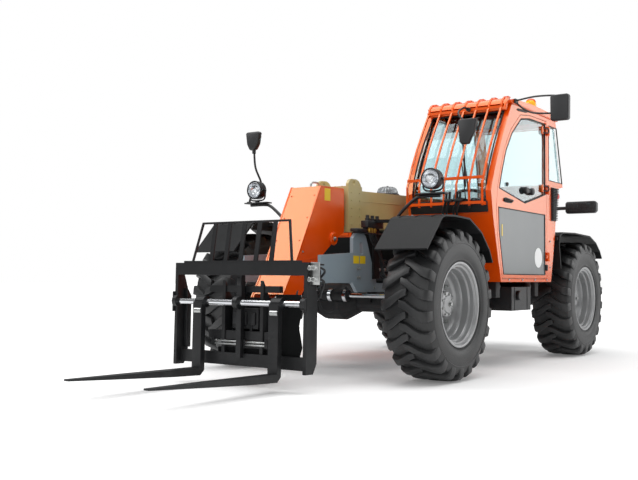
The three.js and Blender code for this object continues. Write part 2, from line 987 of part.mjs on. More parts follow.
function frontMirror() {
  const head = frontSlab(
    [
      [822, 1935],
      [884, 1935],
      [945, 2060],
      [960, 2136],
      [948, 2150],
      [802, 2150],
      [790, 2136],
      [802, 1955],
    ],
    [640, 690],
  );
  const bar = frontY(2290) - 78 - seat;
  const arm = bentTube(9, [
    [744, bar, 2290],
    [744, bar - 120, 2290],
    [770, 690, 2200],
    [860, 665, 2120],
  ]);
  return join(head, arm);
}

function beacon() {
  const deck = cabTop + roofThick + 4;
  return turnedZ(
    [
      [0, 0],
      [62, 0],
      [62, 18],
      [52, 24],
      [44, 96],
      [34, 106],
      [0, 108],
    ],
    20,
    [1010, 1740, deck],
  );
}

function rearLampLeft() {
  const cluster = frontSlab(
    [
      [800, 1528],
      [816, 1510],
      [1118, 1510],
      [1140, 1532],
      [1140, 1618],
      [1118, 1640],
      [816, 1640],
      [800, 1622],
    ],
    [3270, 3350],
  );
  const face = frameOuter + seat;
  const foot = block([face, face + 14], [3250, 3330], [1330, 1425]);
  const post = block([face, face + 34], [3290, 3330], [1390, 1590]);
  const arm = block([face, 810], [3290, 3330], [1555, 1590]);
  return join(cluster, arm, post, foot);
}

// ---------- Boom ----------
const droop = radians(boomDroop);

// A machine point (y, z) in the boom's own frame, whose origin is the pivot.
function onBoom([y, z]) {
  const dy = y - boomPivot.y;
  const dz = z - boomPivot.z;
  return [
    dy * Math.cos(droop) + dz * Math.sin(droop),
    -dy * Math.sin(droop) + dz * Math.cos(droop),
  ];
}

const outerTop = outerBoom.top;
const outerLow = outerTop - outerBoom.height;
const boomMid = (outerTop + outerLow) / 2;

function boxTube(width, height, wall, [y0, y1], grow = 0) {
  const [w, h] = [width / 2 + grow, height / 2 + grow];
  const outer = block([-w, w], [y0, y1], [boomMid - h, boomMid + h]);
  const inner = block(
    [-w + wall, w - wall],
    [y0 - 10, y1 + 10],
    [boomMid - h + wall, boomMid + h - wall],
  );
  return { outer, inner };
}

function outerBoomSolid() {
  const tube = boxTube(outerBoom.width, outerBoom.height, outerBoom.wall, [-boomLength, 90]);
  const collar = boxTube(outerBoom.width, outerBoom.height, 1, [-boomLength, -boomLength + 210], 30);
  const cheeks = both(
    sideSlab(
      [
        [-260, outerLow + 4],
        [110, outerLow - 30],
        [110, outerTop - 60],
        [-260, outerTop - 60],
      ],
      [outerBoom.width / 2 - 1, outerBoom.width / 2 + 24],
    ),
  );
  const eyeAt = onBoom([liftEye.y, liftEye.z]);
  const ear = both(
    sideSlab(
      [
        [eyeAt[0] - 150, outerLow + 4],
        [eyeAt[0] - 60, eyeAt[1] - 50],
        [eyeAt[0] + 60, eyeAt[1] - 50],
        [eyeAt[0] + 150, outerLow + 4],
      ],
      [72, 100],
    ),
  );
  const eyeX = outerBoom.width / 2;
  const lift = both(
    sideSlab(
      [
        [-boomLength + 4, outerTop + 20],
        [-boomLength + 4, outerTop + 50],
        [-boomLength + 22, outerTop + 78],
        [-boomLength + 55, outerTop + 90],
        [-boomLength + 125, outerTop + 90],
        [-boomLength + 165, outerTop + 76],
        [-boomLength + 190, outerTop + 48],
        [-boomLength + 200, outerTop + 20],
      ],
      [eyeX + 4, eyeX + 29],
    ),
  );
  const holeAt = [-boomLength + 88, outerTop + 56];
  const liftHole = rod(18, [-eyeX - 40, ...holeAt], [eyeX + 40, ...holeAt]);
  const padX = innerBoom.width / 2 + fit;
  const padZ = innerBoom.height / 2 + fit;
  const wearPads = [-boomLength + 20, -boomLength + 520].flatMap((y) => [
    block([-70, 70], [y, y + 120], [boomMid - outerBoom.height / 2 + 6, boomMid - padZ]),
    block([-70, 70], [y, y + 120], [boomMid + padZ, boomMid + outerBoom.height / 2 - 6]),
    both(
      block([padX, outerBoom.width / 2 - 6], [y, y + 120], [boomMid - 70, boomMid + 70]),
    ),
  ]);
  const body = join(tube.outer, collar.outer, cheeks, ear);
  return join(cut(join(body, lift), tube.inner, liftHole), pivotFill(), ...wearPads);
}

// The pivot tube, and the block that closes the boom's rear end round it.
function pivotFill() {
  const half = outerBoom.width / 2;
  return join(
    rod(60, [-frameInner + fit, 0, 0], [frameInner - fit, 0, 0], 20),
    block([-half + 2, half - 2], [-90, 90], [outerLow + 2, 70]),
  );
}

// Points of the nose are given from the boom's front end.
const onNose = ([y, z]) => onBoom([boomEnd + y, z]);

const noseOutline = () =>
  [
    [-47, 1516],
    [-375, 1511],
    [-695, 904],
    [-985, 440],
    [-1035, 380],
    [-1025, 310],
    [-960, 275],
    [-880, 300],
    [-700, 560],
    [-381, 942],
    [-173, 1092],
    [-43, 1162],
  ].map(onNose);

function innerBoomSolid() {
  const front = -boomLength - 30;
  const rear = -boomLength - 30 + innerBoom.length;
  const tube = boxTube(innerBoom.width, innerBoom.height, innerBoom.wall, [front - 200, rear]);
  const half = noseWidth / 2;
  const outline = noseOutline();
  const nose = sideSlab(outline, [-half, half]);
  const core = insetOutline(outline, nosePlate);
  const cavity = sideSlab(core, [-half + nosePlate, half - nosePlate]);
  const open = sideSlab(
    [
      [-1150, 660],
      [-1150, 180],
      [-750, 180],
      [-100, 980],
      [-100, 1180],
      [-230, 1180],
      [-380, 1080],
      [-770, 700],
      [-800, 660],
    ].map(onNose),
    [-half + nosePlate, half - nosePlate],
  );
  const [py, pz] = onBoom([tiltBase.y, tiltBase.z]);
  const [qy, qz] = onBoom([carriagePivot.y, carriagePivot.z]);
  const basePin = rod(tiltSize.pin, [-half - 12, py, pz], [half + 12, py, pz], pinSides);
  const hub = rod(hubRadius, [-half - 58, qy, qz], [half + 58, qy, qz], pinSides);
  const shell = cut(nose, cavity, open);
  const bore = cut(tube.outer, tube.inner);
  return join(shell, bore, basePin, hub);
}

// ---------- Cylinders ----------
function frameAlong(from, to) {
  const span = Math.hypot(to.y - from.y, to.z - from.z);
  const along = (s) => [
    from.y + ((to.y - from.y) * s) / span,
    from.z + ((to.z - from.z) * s) / span,
  ];
  return { span, along };
}

function cylinderBarrel(from, to, size, eyeHalf, share) {
  const { span, along } = frameAlong(from, to);
  const eye = rod(size.eye, [-eyeHalf, from.y, from.z], [eyeHalf, from.y, from.z], 20);
  const [sy, sz] = along(size.eye * 0.6);
  const [ey, ez] = along(span * share);
  const tube = rod(size.bore, [0, sy, sz], [0, ey, ez], 20);
  const [by, bz] = along(size.eye + 60);
  const [fy, fz] = along(span * share + 30);
  const bore = rod(size.rod + fit, [0, by, bz], [0, fy, fz], 16);
  const pinEnd = (x) => [x, from.y, from.z];
  const hole = pinHole(size.pin, pinEnd(-eyeHalf - 5), pinEnd(eyeHalf + 5), pinSides);
  return cut(join(eye, tube), bore, hole);
}

function cylinderRod(from, to, size, eyeHalf) {
  const { along, span } = frameAlong(from, to);
  const [sy, sz] = along(size.eye + 100);
  const eye = rod(size.eye * 0.72, [-eyeHalf, to.y, to.z], [eyeHalf, to.y, to.z], 20);
  const [ey, ez] = along(span - size.eye * 0.3);
  return join(rod(size.rod, [0, sy, sz], [0, ey, ez], 16), eye);
}

// ---------- Carriage and forks ----------
const barDepth = 60;
const innerBarReach = 330;
const hubRadius = 52;

function carriageFrame() {
  const half = carriageHalf;
  const inner = half - carriagePlate;
  const rear = carriageFront + 125;
  const cheek = both(
    sideSlab(
      [
        [carriageFront, carriageBottom - 20],
        [rear - 40, carriageBottom - 20],
        [rear, carriageBottom + 50],
        [rear, shaftHeight + 60],
        [carriageFront + barDepth, carriageTop - 60],
        [carriageFront + barDepth, carriageTop],
        [carriageFront, carriageTop],
      ],
      [inner, half],
    ),
  );
  const bar = (reach, low, high, depth, front = carriageFront) =>
    block([-reach, reach], [front, front + depth], [low, high]);
  const full = inner + 2;
  const topBar = bar(full, carriageTop - carriageTopBar, carriageTop, barDepth);
  const footBar = bar(full, carriageBottom, carriageBottom + 90, 50, carriageFront + 52);
  const midBar = bar(innerBarReach, 330, 395, 50, carriageFront + 70);
  const backBar = bar(innerBarReach, 675, 722, 40, carriageFront + 70);
  const post = block([-22, 22], [carriageFront + 20, carriageFront + 60], [carriageBottom + 60, carriageTop - 10]);
  const bracket = both(
    sideSlab(
      [
        [carriageFront + 60, 230],
        [carriagePivot.y - 60, carriagePivot.z - 90],
        [carriagePivot.y + 30, carriagePivot.z - 85],
        [carriagePivot.y + 80, carriagePivot.z],
        [carriagePivot.y + 30, carriagePivot.z + 85],
        [carriageFront + 130, 640],
        [carriageFront + 60, 760],
      ],
      [noseWidth / 2 + 15, noseWidth / 2 + 43],
    ),
  );
  const pivotHole = pinHole(
    hubRadius,
    [-noseWidth, carriagePivot.y, carriagePivot.z],
    [noseWidth, carriagePivot.y, carriagePivot.z],
    pinSides,
  );
  const lug = both(
    sideSlab(
      [
        [carriageFront + 80, 300],
        [carriagePivot.y, carriagePivot.z - 85],
        [carriagePivot.y + 85, carriagePivot.z],
        [tiltEye.y + 45, tiltEye.z + 30],
        [tiltEye.y, tiltEye.z + 45],
        [tiltEye.y - 45, tiltEye.z + 25],
        [carriageFront + 80, 460],
      ],
      [56, 78],
    ),
  );
  const shaftHole = rod(
    shaftRadius + seat,
    [-half + 6, shaftY, shaftHeight],
    [half - 6, shaftY, shaftHeight],
  );
  const boss = both(rod(46, [inner - 10, shaftY, shaftHeight], [half - 2, shaftY, shaftHeight]));
  const solid = join(cheek, topBar, footBar, midBar, backBar, post, bracket, lug, boss);
  return cut(solid, pivotHole, shaftHole);
}

const shaftY = carriageFront + 8;

function forkShaft() {
  const reach = carriageHalf - 6 - seat;
  return rod(shaftRadius, [-reach, shaftY, shaftHeight], [reach, shaftY, shaftHeight]);
}

function forkSolid() {
  const front = carriageFront - 2;
  const shankFront = front - forkThick;
  const tip = front - forkLength;
  const blade = sideSlab(
    [
      [front, shaftHeight],
      [shankFront, shaftHeight],
      [shankFront, forkTop],
      [tip, forkTop],
      [tip, forkTop - 12],
      [front - 300, forkTop - 50],
      [front - 40, forkTop - 56],
      [front, forkTop - 20],
    ],
    [-forkWidth / 2, forkWidth / 2],
  );
  const taper = [1, -1].map((s) =>
    planSlab(
      [
        [s * (forkWidth / 2 + 5), tip + forkTaper],
        [s * (forkWidth / 2 + 5), tip - 10],
        [s * 22, tip - 10],
        [s * (forkWidth / 2), tip + forkTaper],
      ],
      [0, 200],
    ),
  );
  const eye = rod(42, [-forkWidth / 2, shaftY, shaftHeight], [forkWidth / 2, shaftY, shaftHeight], 20);
  const hole = rod(
    shaftRadius + fit,
    [-forkWidth, shaftY, shaftHeight],
    [forkWidth, shaftY, shaftHeight],
  );
  return cut(join(blade, eye), hole, ...taper);
}

// Drawn upright at its foot, then leaned back on the carriage.
function backrestSolid() {
  const deck = carriageTop + seat;
  const high = (backrestTop - deck) / Math.cos(radians(backrestLean));
  const topHalf = 417;
  const slat = (half, xTop, xLow) =>
    frontSlab(
      [
        [xLow - half, 6],
        [xLow + half, 6],
        [xTop + half, high],
        [xTop - half, high],
      ],
      [-5, 5],
    );
  const rail = block([-topHalf, topHalf], [-5, 5], [high - 14, high]);
  const ends = both(slat(9, topHalf - 9, 1.12 * topHalf));
  const slats = [-0.68, -0.34, 0, 0.34, 0.68].map((share) =>
    slat(18, share * topHalf, share * topHalf),
  );
  const footBar = block([-540, 540], [carriageFront + 5, carriageFront + 45], [deck, deck + 14]);
  const screen = join(rail, ends, ...slats)
    .rotate([-backrestLean, 0, 0])
    .translate([0, carriageFront + 25, deck]);
  return join(footBar, screen);
}

// ---------- Assembly ----------
node("chassis_frame", chassisFrame(), slate);
node("counterweight", counterweight(), black);

for (const [end, y, facing] of [
  ["front", 0, -1],
  ["rear", wheelbase, 1],
]) {
  const axle = new THREE.Group();
  axle.position.set(0, y, axleZ);
  machine.add(axle);
  node(`${end}_axle`, axleSolid(facing), black, axle);
  const linkGroup = new THREE.Group();
  linkGroup.position.set(0, facing * steerLinkReach, steerLinkRise);
  axle.add(linkGroup);
  node(`steering_rod_${end}`, steerRodSolid(), chrome, linkGroup);
  for (const [side, hand] of [
    ["left", 1],
    ["right", -1],
  ]) {
    const knuckle = knuckleSolid(facing);
    const mounted = node(`knuckle_${end}_${side}`, hand > 0 ? knuckle : mirrored(knuckle), black, axle);
    mounted.position.x = hand * kingpinX;
    const wheel = new THREE.Group();
    wheel.position.x = hand * wheelX;
    wheel.rotation.z = hand > 0 ? 0 : Math.PI;
    axle.add(wheel);
    node(`rim_${end}_${side}`, rimSolid(), silver, wheel);
    node(`tyre_${end}_${side}`, tyreSolid(), rubber, wheel);
  }
}

const frontFender = fender(frontFenderLine, -40, 930);
const rearFender = fender(rearFenderLine, wheelbase + 60, 1230);
node("front_fender_left", frontFender, black);
node("front_fender_right", mirrored(frontFender), black);
node("rear_fender_left", rearFender, black);
node("rear_fender_right", mirrored(rearFender), black);

node("cab_frame", cabFrame(), orange);
node("cab_roof", cabRoof(), orange);
node("windscreen_guard", windscreenGuard(), orange);
const screenX = [cabRight + cabWall + 5 + paneGap, cabLeft - cabWall - 5 - paneGap];
node(
  "windscreen",
  frontSheet(windscreenSill + paneGap, windscreenHead - paneGap, 8, glassThick, screenX),
  glass,
);
node("rear_window", rearGlass(), glass);
node("right_window", sidePane(rightWindow, cabRight, -1), glass);

const doorX = [cabLeft - doorThick, cabLeft];
node("door_frame", doorFrame(), orange);
node("door_glass", sidePane(doorWindow, cabLeft + 6, 1), glass);
node("door_panel", sideSlab(insetOutline(doorPanelHole, paneGap), [doorX[0] + 8, doorX[1] - 4]), grey);

node("seat_base", seatBase(), black);
node("seat_cushion", seatCushion(), cloth);
node("seat_back", seatBack(), cloth);
node("dashboard", dashboard(), black);
const steering = node("steering_wheel", steeringWheelSolid(), black);
steering.position.set(seatX, wheelHub.y, wheelHub.z);
steering.rotation.x = -radians(columnTilt);

node("engine_pod", enginePod(), orange);
node("engine_hood", engineHood(), orange);
node("engine_block", engineBlock(), silver);
node("precleaner", precleaner(), black);
node("fuel_tank", fuelTank(), black);

node("headlamp_left", headlampLeft(), black);
node("headlamp_right", mirrored(headlampLeft()), black);
node("mirror_left", leftMirror(), black);
node("mirror_right", rightMirror(), black);
node("mirror_front", frontMirror(), black);
node("beacon", beacon(), amber);
node("rear_lamp_left", rearLampLeft(), black);
node("rear_lamp_right", mirrored(rearLampLeft()), black);

const boom = new THREE.Group();
boom.position.set(0, boomPivot.y, boomPivot.z);
boom.rotation.x = droop;
machine.add(boom);
node("outer_boom", outerBoomSolid(), cream, boom);
node("inner_boom", innerBoomSolid(), orange, boom);

node("lift_cylinder_barrel", cylinderBarrel(liftBase, liftEye, liftSize, 60, 0.86), black);
node("lift_cylinder_rod", cylinderRod(liftBase, liftEye, liftSize, 55), chrome);
node("tilt_cylinder_barrel", cylinderBarrel(tiltBase, tiltEye, tiltSize, 45, 0.68), black);
node("tilt_cylinder_rod", cylinderRod(tiltBase, tiltEye, tiltSize, 45), chrome);

const carriage = new THREE.Group();
carriage.position.set(0, carriagePivot.y, carriagePivot.z);
carriage.rotation.x = -radians(carriageLean);
machine.add(carriage);
const onPivot = (solid) => solid.translate([0, -carriagePivot.y, -carriagePivot.z]);
node("carriage_frame", onPivot(carriageFrame()), black, carriage);
node("fork_shaft", onPivot(forkShaft()), chrome, carriage);
node("backrest", onPivot(backrestSolid()), black, carriage);
for (const [side, x] of Object.entries(forkPlaces)) {
  node(`fork_${side}`, onPivot(forkSolid()), black, carriage).position.x = x;
}

const footprint = new THREE.Box3().setFromObject(machine);
const middle = footprint.getCenter(new THREE.Vector3());
machine.position.set(-middle.x, -middle.y, -footprint.min.z);

const telehandler = new THREE.Group();
telehandler.add(machine);

export default telehandler;
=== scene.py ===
"""Looks of a compact telehandler with a side cab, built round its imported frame.

Metres. +Z is up, -Y is the front where the forks point, +X is the machine's left.
"""

import math

import bpy
from mathutils import Matrix, Vector


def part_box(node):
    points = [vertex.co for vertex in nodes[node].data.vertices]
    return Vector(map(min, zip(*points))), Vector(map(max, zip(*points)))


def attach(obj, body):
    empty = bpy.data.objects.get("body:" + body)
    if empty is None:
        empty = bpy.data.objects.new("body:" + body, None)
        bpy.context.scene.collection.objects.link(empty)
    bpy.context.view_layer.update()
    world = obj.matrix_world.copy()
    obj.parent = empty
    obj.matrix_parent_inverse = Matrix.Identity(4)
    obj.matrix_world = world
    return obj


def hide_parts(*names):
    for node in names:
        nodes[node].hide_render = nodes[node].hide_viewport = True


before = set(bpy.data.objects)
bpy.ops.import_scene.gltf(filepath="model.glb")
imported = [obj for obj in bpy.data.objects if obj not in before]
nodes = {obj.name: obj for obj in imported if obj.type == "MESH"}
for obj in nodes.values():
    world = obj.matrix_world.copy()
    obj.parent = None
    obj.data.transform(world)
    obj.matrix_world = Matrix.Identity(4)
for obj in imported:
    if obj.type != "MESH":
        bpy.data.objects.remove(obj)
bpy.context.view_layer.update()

# ---------- Machine frame ----------
# Places below are given from the machine's centre plane, the front axle and the ground.
left_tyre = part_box("tyre_front_left")
right_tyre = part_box("tyre_front_right")
MIDDLE = (right_tyre[0].x + left_tyre[1].x) / 2
AXLE = (left_tyre[0].y + left_tyre[1].y) / 2
WHEEL_R = (left_tyre[1].z - left_tyre[0].z) / 2
WHEEL_HALF = (left_tyre[1].x - left_tyre[0].x) / 2
REAR_AXLE = (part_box("tyre_rear_left")[0].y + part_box("tyre_rear_left")[1].y) / 2 - AXLE
WHEEL_X = left_tyre[1].x - MIDDLE - WHEEL_HALF


def at(x, y, z):
    """A place in the machine frame as a row-frame vector."""
    return Vector((MIDDLE + x, AXLE + y, z))


TO_LEFT, TO_RIGHT = (1, 0, 0), (-1, 0, 0)
TO_BACK, TO_FRONT = (0, 1, 0), (0, -1, 0)
TO_TOP = (0, 0, 1)
CAMERA_PLACE = (4.06432, -6.02555, 0.79394)
CAMERA_TURN_DEG = (35.297, 2.443, 0.476)
CAMERA_LENS_MM, CAMERA_SENSOR_MM = 48.67, 36


def put_camera():
    yaw, pitch, roll = (math.radians(angle) for angle in CAMERA_TURN_DEG)
    ahead = Vector((-math.sin(yaw) * math.cos(pitch), math.cos(yaw) * math.cos(pitch), math.sin(pitch)))
    side = Vector((math.cos(yaw), math.sin(yaw), 0))
    up = side.cross(ahead)
    right = side * math.cos(roll) + up * math.sin(roll)
    above = up * math.cos(roll) - side * math.sin(roll)
    bpy.ops.object.camera_add()
    camera = bpy.context.active_object
    camera.name = "camera"
    camera.data.lens = CAMERA_LENS_MM
    camera.data.sensor_width = CAMERA_SENSOR_MM
    camera.data.clip_end = 200
    turn = Matrix((right, above, -ahead)).transposed().to_4x4()
    camera.matrix_world = Matrix.Translation(at(*CAMERA_PLACE)) @ turn
    bpy.context.scene.camera = camera


put_camera()


# ---------- Modelling by hand ----------
def deselect():
    """Object mode with nothing chosen."""
    if bpy.context.mode != "OBJECT":
        bpy.ops.object.mode_set(mode="OBJECT")
    bpy.ops.object.select_all(action="DESELECT")


def take(obj):
    deselect()
    obj.select_set(True)
    bpy.context.view_layer.objects.active = obj


def edit(obj):
    """Edit mode with every vertex chosen."""
    take(obj)
    bpy.ops.object.mode_set(mode="EDIT")
    bpy.ops.mesh.select_mode(type="VERT")
    bpy.ops.mesh.select_all(action="SELECT")


def settle(obj, angle=32):
    """Back to object mode, placed in its mesh, shaded smooth up to an angle."""
    take(obj)
    bpy.ops.object.transform_apply(location=True, rotation=True, scale=True)
    bpy.ops.object.shade_smooth_by_angle(angle=math.radians(angle))
    return obj


def use(obj, kind, name, **settings):
    """Adds a modifier and applies it."""
    take(obj)
    modifier = obj.modifiers.new(name, kind)
    for key, value in settings.items():
        setattr(modifier, key, value)
    bpy.ops.object.modifier_apply(modifier=modifier.name)
    return obj


def rounded(obj, width, segments=2, angle=35):
    if width > 0:
        use(
            obj,
            "BEVEL",
            "Rounded edges",
            width=width,
            segments=segments,
            limit_method="ANGLE",
            angle_limit=math.radians(angle),
        )
    return settle(obj)


def face_out(obj):
    edit(obj)
    bpy.ops.mesh.remove_doubles(threshold=1e-5)
    bpy.ops.mesh.normals_make_consistent(inside=False)
    bpy.ops.object.mode_set(mode="OBJECT")
    return obj


def trace(name, points, closed=False):
    """A line through the points, drawn out from one vertex, and filled where it is closed."""
    deselect()
    bpy.ops.mesh.primitive_plane_add(size=0.002, location=points[0])
    obj = bpy.context.active_object
    obj.name = name
    bpy.ops.object.transform_apply(location=True)
    edit(obj)
    bpy.ops.mesh.merge(type="CENTER")
    for near, far in zip(points, points[1:]):
        step = tuple(Vector(far) - Vector(near))
        bpy.ops.mesh.extrude_vertices_move(TRANSFORM_OT_translate={"value": step})
    bpy.ops.mesh.select_all(action="SELECT")
    if closed:
        bpy.ops.mesh.edge_face_add()
    return obj


def plate(name, points, depth, bevel=0.003, segments=2):
    """A closed outline made thick along depth, its edges rounded."""
    obj = trace(name, points, closed=True)
    bpy.ops.mesh.extrude_region_move(TRANSFORM_OT_translate={"value": tuple(depth)})
    return rounded(face_out(obj), bevel, segments)


def side_plate(name, outline, x0, x1, bevel=0.003, segments=2):
    points = [at(x0, y, z) for y, z in outline]
    return plate(name, points, Vector((x1 - x0, 0, 0)), bevel, segments)


def front_plate(name, outline, y0, y1, bevel=0.003, segments=2):
    points = [at(x, y0, z) for x, z in outline]
    return plate(name, points, Vector((0, y1 - y0, 0)), bevel, segments)


def bar(name, low, high, bevel=0.003, segments=2):
    """A squared bar between two corners of the machine frame, its edges rounded."""
    a, b = at(*low), at(*high)
    deselect()
    bpy.ops.mesh.primitive_cube_add(size=1, location=(a + b) / 2, scale=b - a)
    obj = bpy.context.active_object
    obj.name = name
    bpy.ops.object.transform_apply(location=True, rotation=True, scale=True)
    return rounded(obj, bevel, segments)


def oblong(low_a, low_b, high_a, high_b):
    """The four corners of an upright oblong outline."""
    return [(low_a, low_b), (high_a, low_b), (high_a, high_b), (low_a, high_b)]


def stub(radius, shoulder, height, top):
    """A profile to turn: straight up to the shoulder, then sloped in to the top."""
    return [(0, 0), (0, radius), (shoulder, radius), (height, top), (height, 0)]


def turned(name, profile, centre, axis, steps=40, angle=32):
    """A profile of (along, radius) points spun round an axis through the centre."""
    along = Vector(axis).normalized()
    out = along.orthogonal().normalized()
    obj = trace(name, [centre + along * a + out * r for a, r in profile])
    bpy.ops.mesh.spin(steps=steps, angle=2 * math.pi, center=centre, axis=along)
    return settle(face_out(obj), angle)


def smooth_way(points, steps):
    """Points on a smooth line through the given ones."""
    ends = [points[0] * 2 - points[1], *points, points[-1] * 2 - points[-2]]
    way = []
    for a, b, c, d in zip(ends, ends[1:], ends[2:], ends[3:]):
        for i in range(steps):
            t = i / steps
            way.append(
                0.5
                * (
                    2 * b
                    + (c - a) * t
                    + (2 * a - 5 * b + 4 * c - d) * t**2
                    + (3 * b - a - 3 * c + d) * t**3
                )
            )
    return [*way, points[-1]]


def tube(name, points, radius, steps=6, resolution=2):
    """A round bar or hose through points of the machine frame."""
    spots = [at(*p) for p in points]
    obj = trace(name, smooth_way(spots, steps) if steps > 1 else spots)
    bpy.ops.object.mode_set(mode="OBJECT")
    bpy.ops.object.convert(target="CURVE")
    obj.data.dimensions = "3D"
    obj.data.bevel_depth = radius
    obj.data.bevel_resolution = resolution
    obj.data.use_fill_caps = True
    bpy.ops.object.convert(target="MESH")
    return settle(face_out(obj), 50)


def joined(name, pieces):
    """Several solids as one mesh."""
    deselect()
    for piece in pieces:
        piece.select_set(True)
    bpy.context.view_layer.objects.active = pieces[0]
    if len(pieces) > 1:
        bpy.ops.object.join()
    obj = bpy.context.active_object
    obj.name = name
    return obj


def copied(obj, place=Matrix.Identity(4)):
    """A copy with its own mesh, moved by a matrix."""
    twin = obj.copy()
    twin.data = obj.data.copy()
    bpy.context.scene.collection.objects.link(twin)
    twin.data.transform(place)
    return twin


def mirrored(obj, name):
    """The piece on the machine's other side."""
    flip = Matrix.Translation((2 * MIDDLE, 0, 0)) @ Matrix.Scale(-1, 4, (1, 0, 0))
    twin = copied(obj, flip)
    twin.name = name
    return settle(face_out(twin))


def bolt_heads(name, places, axis, radius, height=None):
    """Hexagon heads with a washer under each, standing on places and pointing along the axis."""
    height = height or radius * 0.8
    along = Vector(axis).normalized()
    turn = along.to_track_quat("Z", "Y").to_matrix().to_4x4()
    deselect()
    bpy.ops.mesh.primitive_cylinder_add(vertices=12, radius=radius * 1.45, depth=height * 0.3)
    washer = bpy.context.active_object
    washer.data.transform(Matrix.Translation((0, 0, height * 0.15)))
    deselect()
    bpy.ops.mesh.primitive_cylinder_add(vertices=6, radius=radius, depth=height)
    head = bpy.context.active_object
    head.data.transform(Matrix.Translation((0, 0, height * 0.5 + height * 0.3)))
    rounded(head, radius * 0.1, 1, 50)
    first = joined(name, [washer, head])
    copies = [copied(first, Matrix.Translation(at(*p)) @ turn) for p in places]
    bpy.data.objects.remove(first)
    return settle(joined(name, copies))


# ---------- Surface effects shared by several finishes ----------
def shader_group(name, inputs, outputs):
    tree = bpy.data.node_groups.new(name, "ShaderNodeTree")
    for label, kind, value in inputs:
        socket = tree.interface.new_socket(name=label, in_out="INPUT", socket_type=kind)
        socket.default_value = value
    for label, kind in outputs:
        tree.interface.new_socket(name=label, in_out="OUTPUT", socket_type=kind)
    return tree, tree.nodes.new("NodeGroupInput").outputs, tree.nodes.new("NodeGroupOutput").inputs


def add_node(tree, kind, links=(), **settings):
    """A node with settings, its inputs linked or set from a list of (input, source or value)."""
    made = tree.nodes.new(kind)
    for key, value in settings.items():
        setattr(made, key, value)
    for key, source in links:
        if isinstance(source, bpy.types.NodeSocket):
            tree.links.new(source, made.inputs[key])
        else:
            made.inputs[key].default_value = source
    return made


NUMBER, COLOUR = "NodeSocketFloat", "NodeSocketColor"


def noise(tree, where, scale, detail=3.0, roughness=0.55):
    links = [("Vector", where), ("Scale", scale), ("Detail", detail), ("Roughness", roughness)]
    return add_node(tree, "ShaderNodeTexNoise", links).outputs["Fac"]


def math_of(tree, operation, a, b, clamp=False):
    links = [(0, a), (1, b)]
    return add_node(tree, "ShaderNodeMath", links, operation=operation, use_clamp=clamp).outputs[0]


def between(tree, value, low, high, to_low=0.0, to_high=1.0):
    links = [
        ("Value", value),
        ("From Min", low),
        ("From Max", high),
        ("To Min", to_low),
        ("To Max", to_high),
    ]
    return add_node(tree, "ShaderNodeMapRange", links, clamp=True).outputs[0]


def blend_colours(tree, share, a, b):
    made = add_node(tree, "ShaderNodeMix", data_type="RGBA")
    sockets = [(made.inputs["Factor"], share)]
    colours = [s for s in made.inputs if s.type == "RGBA"]
    sockets += [(colours[0], a), (colours[1], b)]
    for socket, source in sockets:
        if isinstance(source, bpy.types.NodeSocket):
            tree.links.new(source, socket)
        else:
            socket.default_value = source
    return next(s for s in made.outputs if s.type == "RGBA")


def place_of(tree):
    return add_node(tree, "ShaderNodeTexCoord").outputs["Object"]


def make_tone_drift():
    """Slow drift between two close colours, as paint and plastic show over a large panel."""
    tree, given, out = shader_group(
        "Tone drift",
        [
            ("Colour", COLOUR, (0.5, 0.5, 0.5, 1)),
            ("Second colour", COLOUR, (0.5, 0.5, 0.5, 1)),
            ("Scale", NUMBER, 3.0),
        ],
        [("Colour", COLOUR)],
    )
    patch = between(tree, noise(tree, place_of(tree), given["Scale"]), 0.35, 0.65)
    mixed = blend_colours(tree, patch, given["Colour"], given["Second colour"])
    tree.links.new(mixed, out["Colour"])
    return tree


def make_settled_dust():
    """Dust that thickens towards the ground and gathers in patches."""
    tree, given, out = shader_group(
        "Settled dust",
        [
            ("Colour", COLOUR, (0.5, 0.5, 0.5, 1)),
            ("Dust colour", COLOUR, (0.33, 0.33, 0.33, 1)),
            ("Amount", NUMBER, 0.2),
            ("Top", NUMBER, 1.2),
        ],
        [("Colour", COLOUR), ("Mask", NUMBER)],
    )
    where = place_of(tree)
    height = add_node(tree, "ShaderNodeSeparateXYZ", [(0, where)]).outputs["Z"]
    low = between(tree, height, given["Top"], 0.0)
    patch = between(tree, noise(tree, where, 7.0, 6.0, 0.65), 0.3, 0.75)
    mask = math_of(tree, "MULTIPLY", math_of(tree, "MULTIPLY", low, patch), given["Amount"], True)
    tree.links.new(blend_colours(tree, mask, given["Colour"], given["Dust colour"]), out["Colour"])
    tree.links.new(mask, out["Mask"])
    return tree


def make_fine_grain():
    """The pebbled skin of moulded plastic and cast iron, or the slight peel of sprayed paint."""
    tree, given, out = shader_group(
        "Fine grain", [("Scale", NUMBER, 300.0), ("Depth", NUMBER, 0.5)], [("Height", NUMBER)]
    )
    where = place_of(tree)
    fine = noise(tree, where, given["Scale"], 2.0)
    coarse = noise(tree, where, math_of(tree, "MULTIPLY", given["Scale"], 0.31), 1.0)
    both = math_of(tree, "ADD", fine, coarse)
    tree.links.new(math_of(tree, "MULTIPLY", both, given["Depth"]), out["Height"])
    return tree


def make_scuffs():
    """Thin rubbed streaks, stretched along the machine, where a surface has been handled."""
    tree, given, out = shader_group(
        "Scuffs", [("Scale", NUMBER, 12.0), ("Amount", NUMBER, 0.3)], [("Mask", NUMBER)]
    )
    where = place_of(tree)
    stretched = add_node(
        tree, "ShaderNodeMapping", [("Vector", where), ("Scale", (1.0, 0.25, 2.6))]
    ).outputs[0]
    streak = between(tree, noise(tree, stretched, given["Scale"], 8.0, 0.7), 0.6, 0.7)
    patch = between(tree, noise(tree, where, 2.1, 2.0), 0.45, 0.7)
    mask = math_of(tree, "MULTIPLY", math_of(tree, "MULTIPLY", streak, patch), given["Amount"])
    tree.links.new(mask, out["Mask"])
    return tree


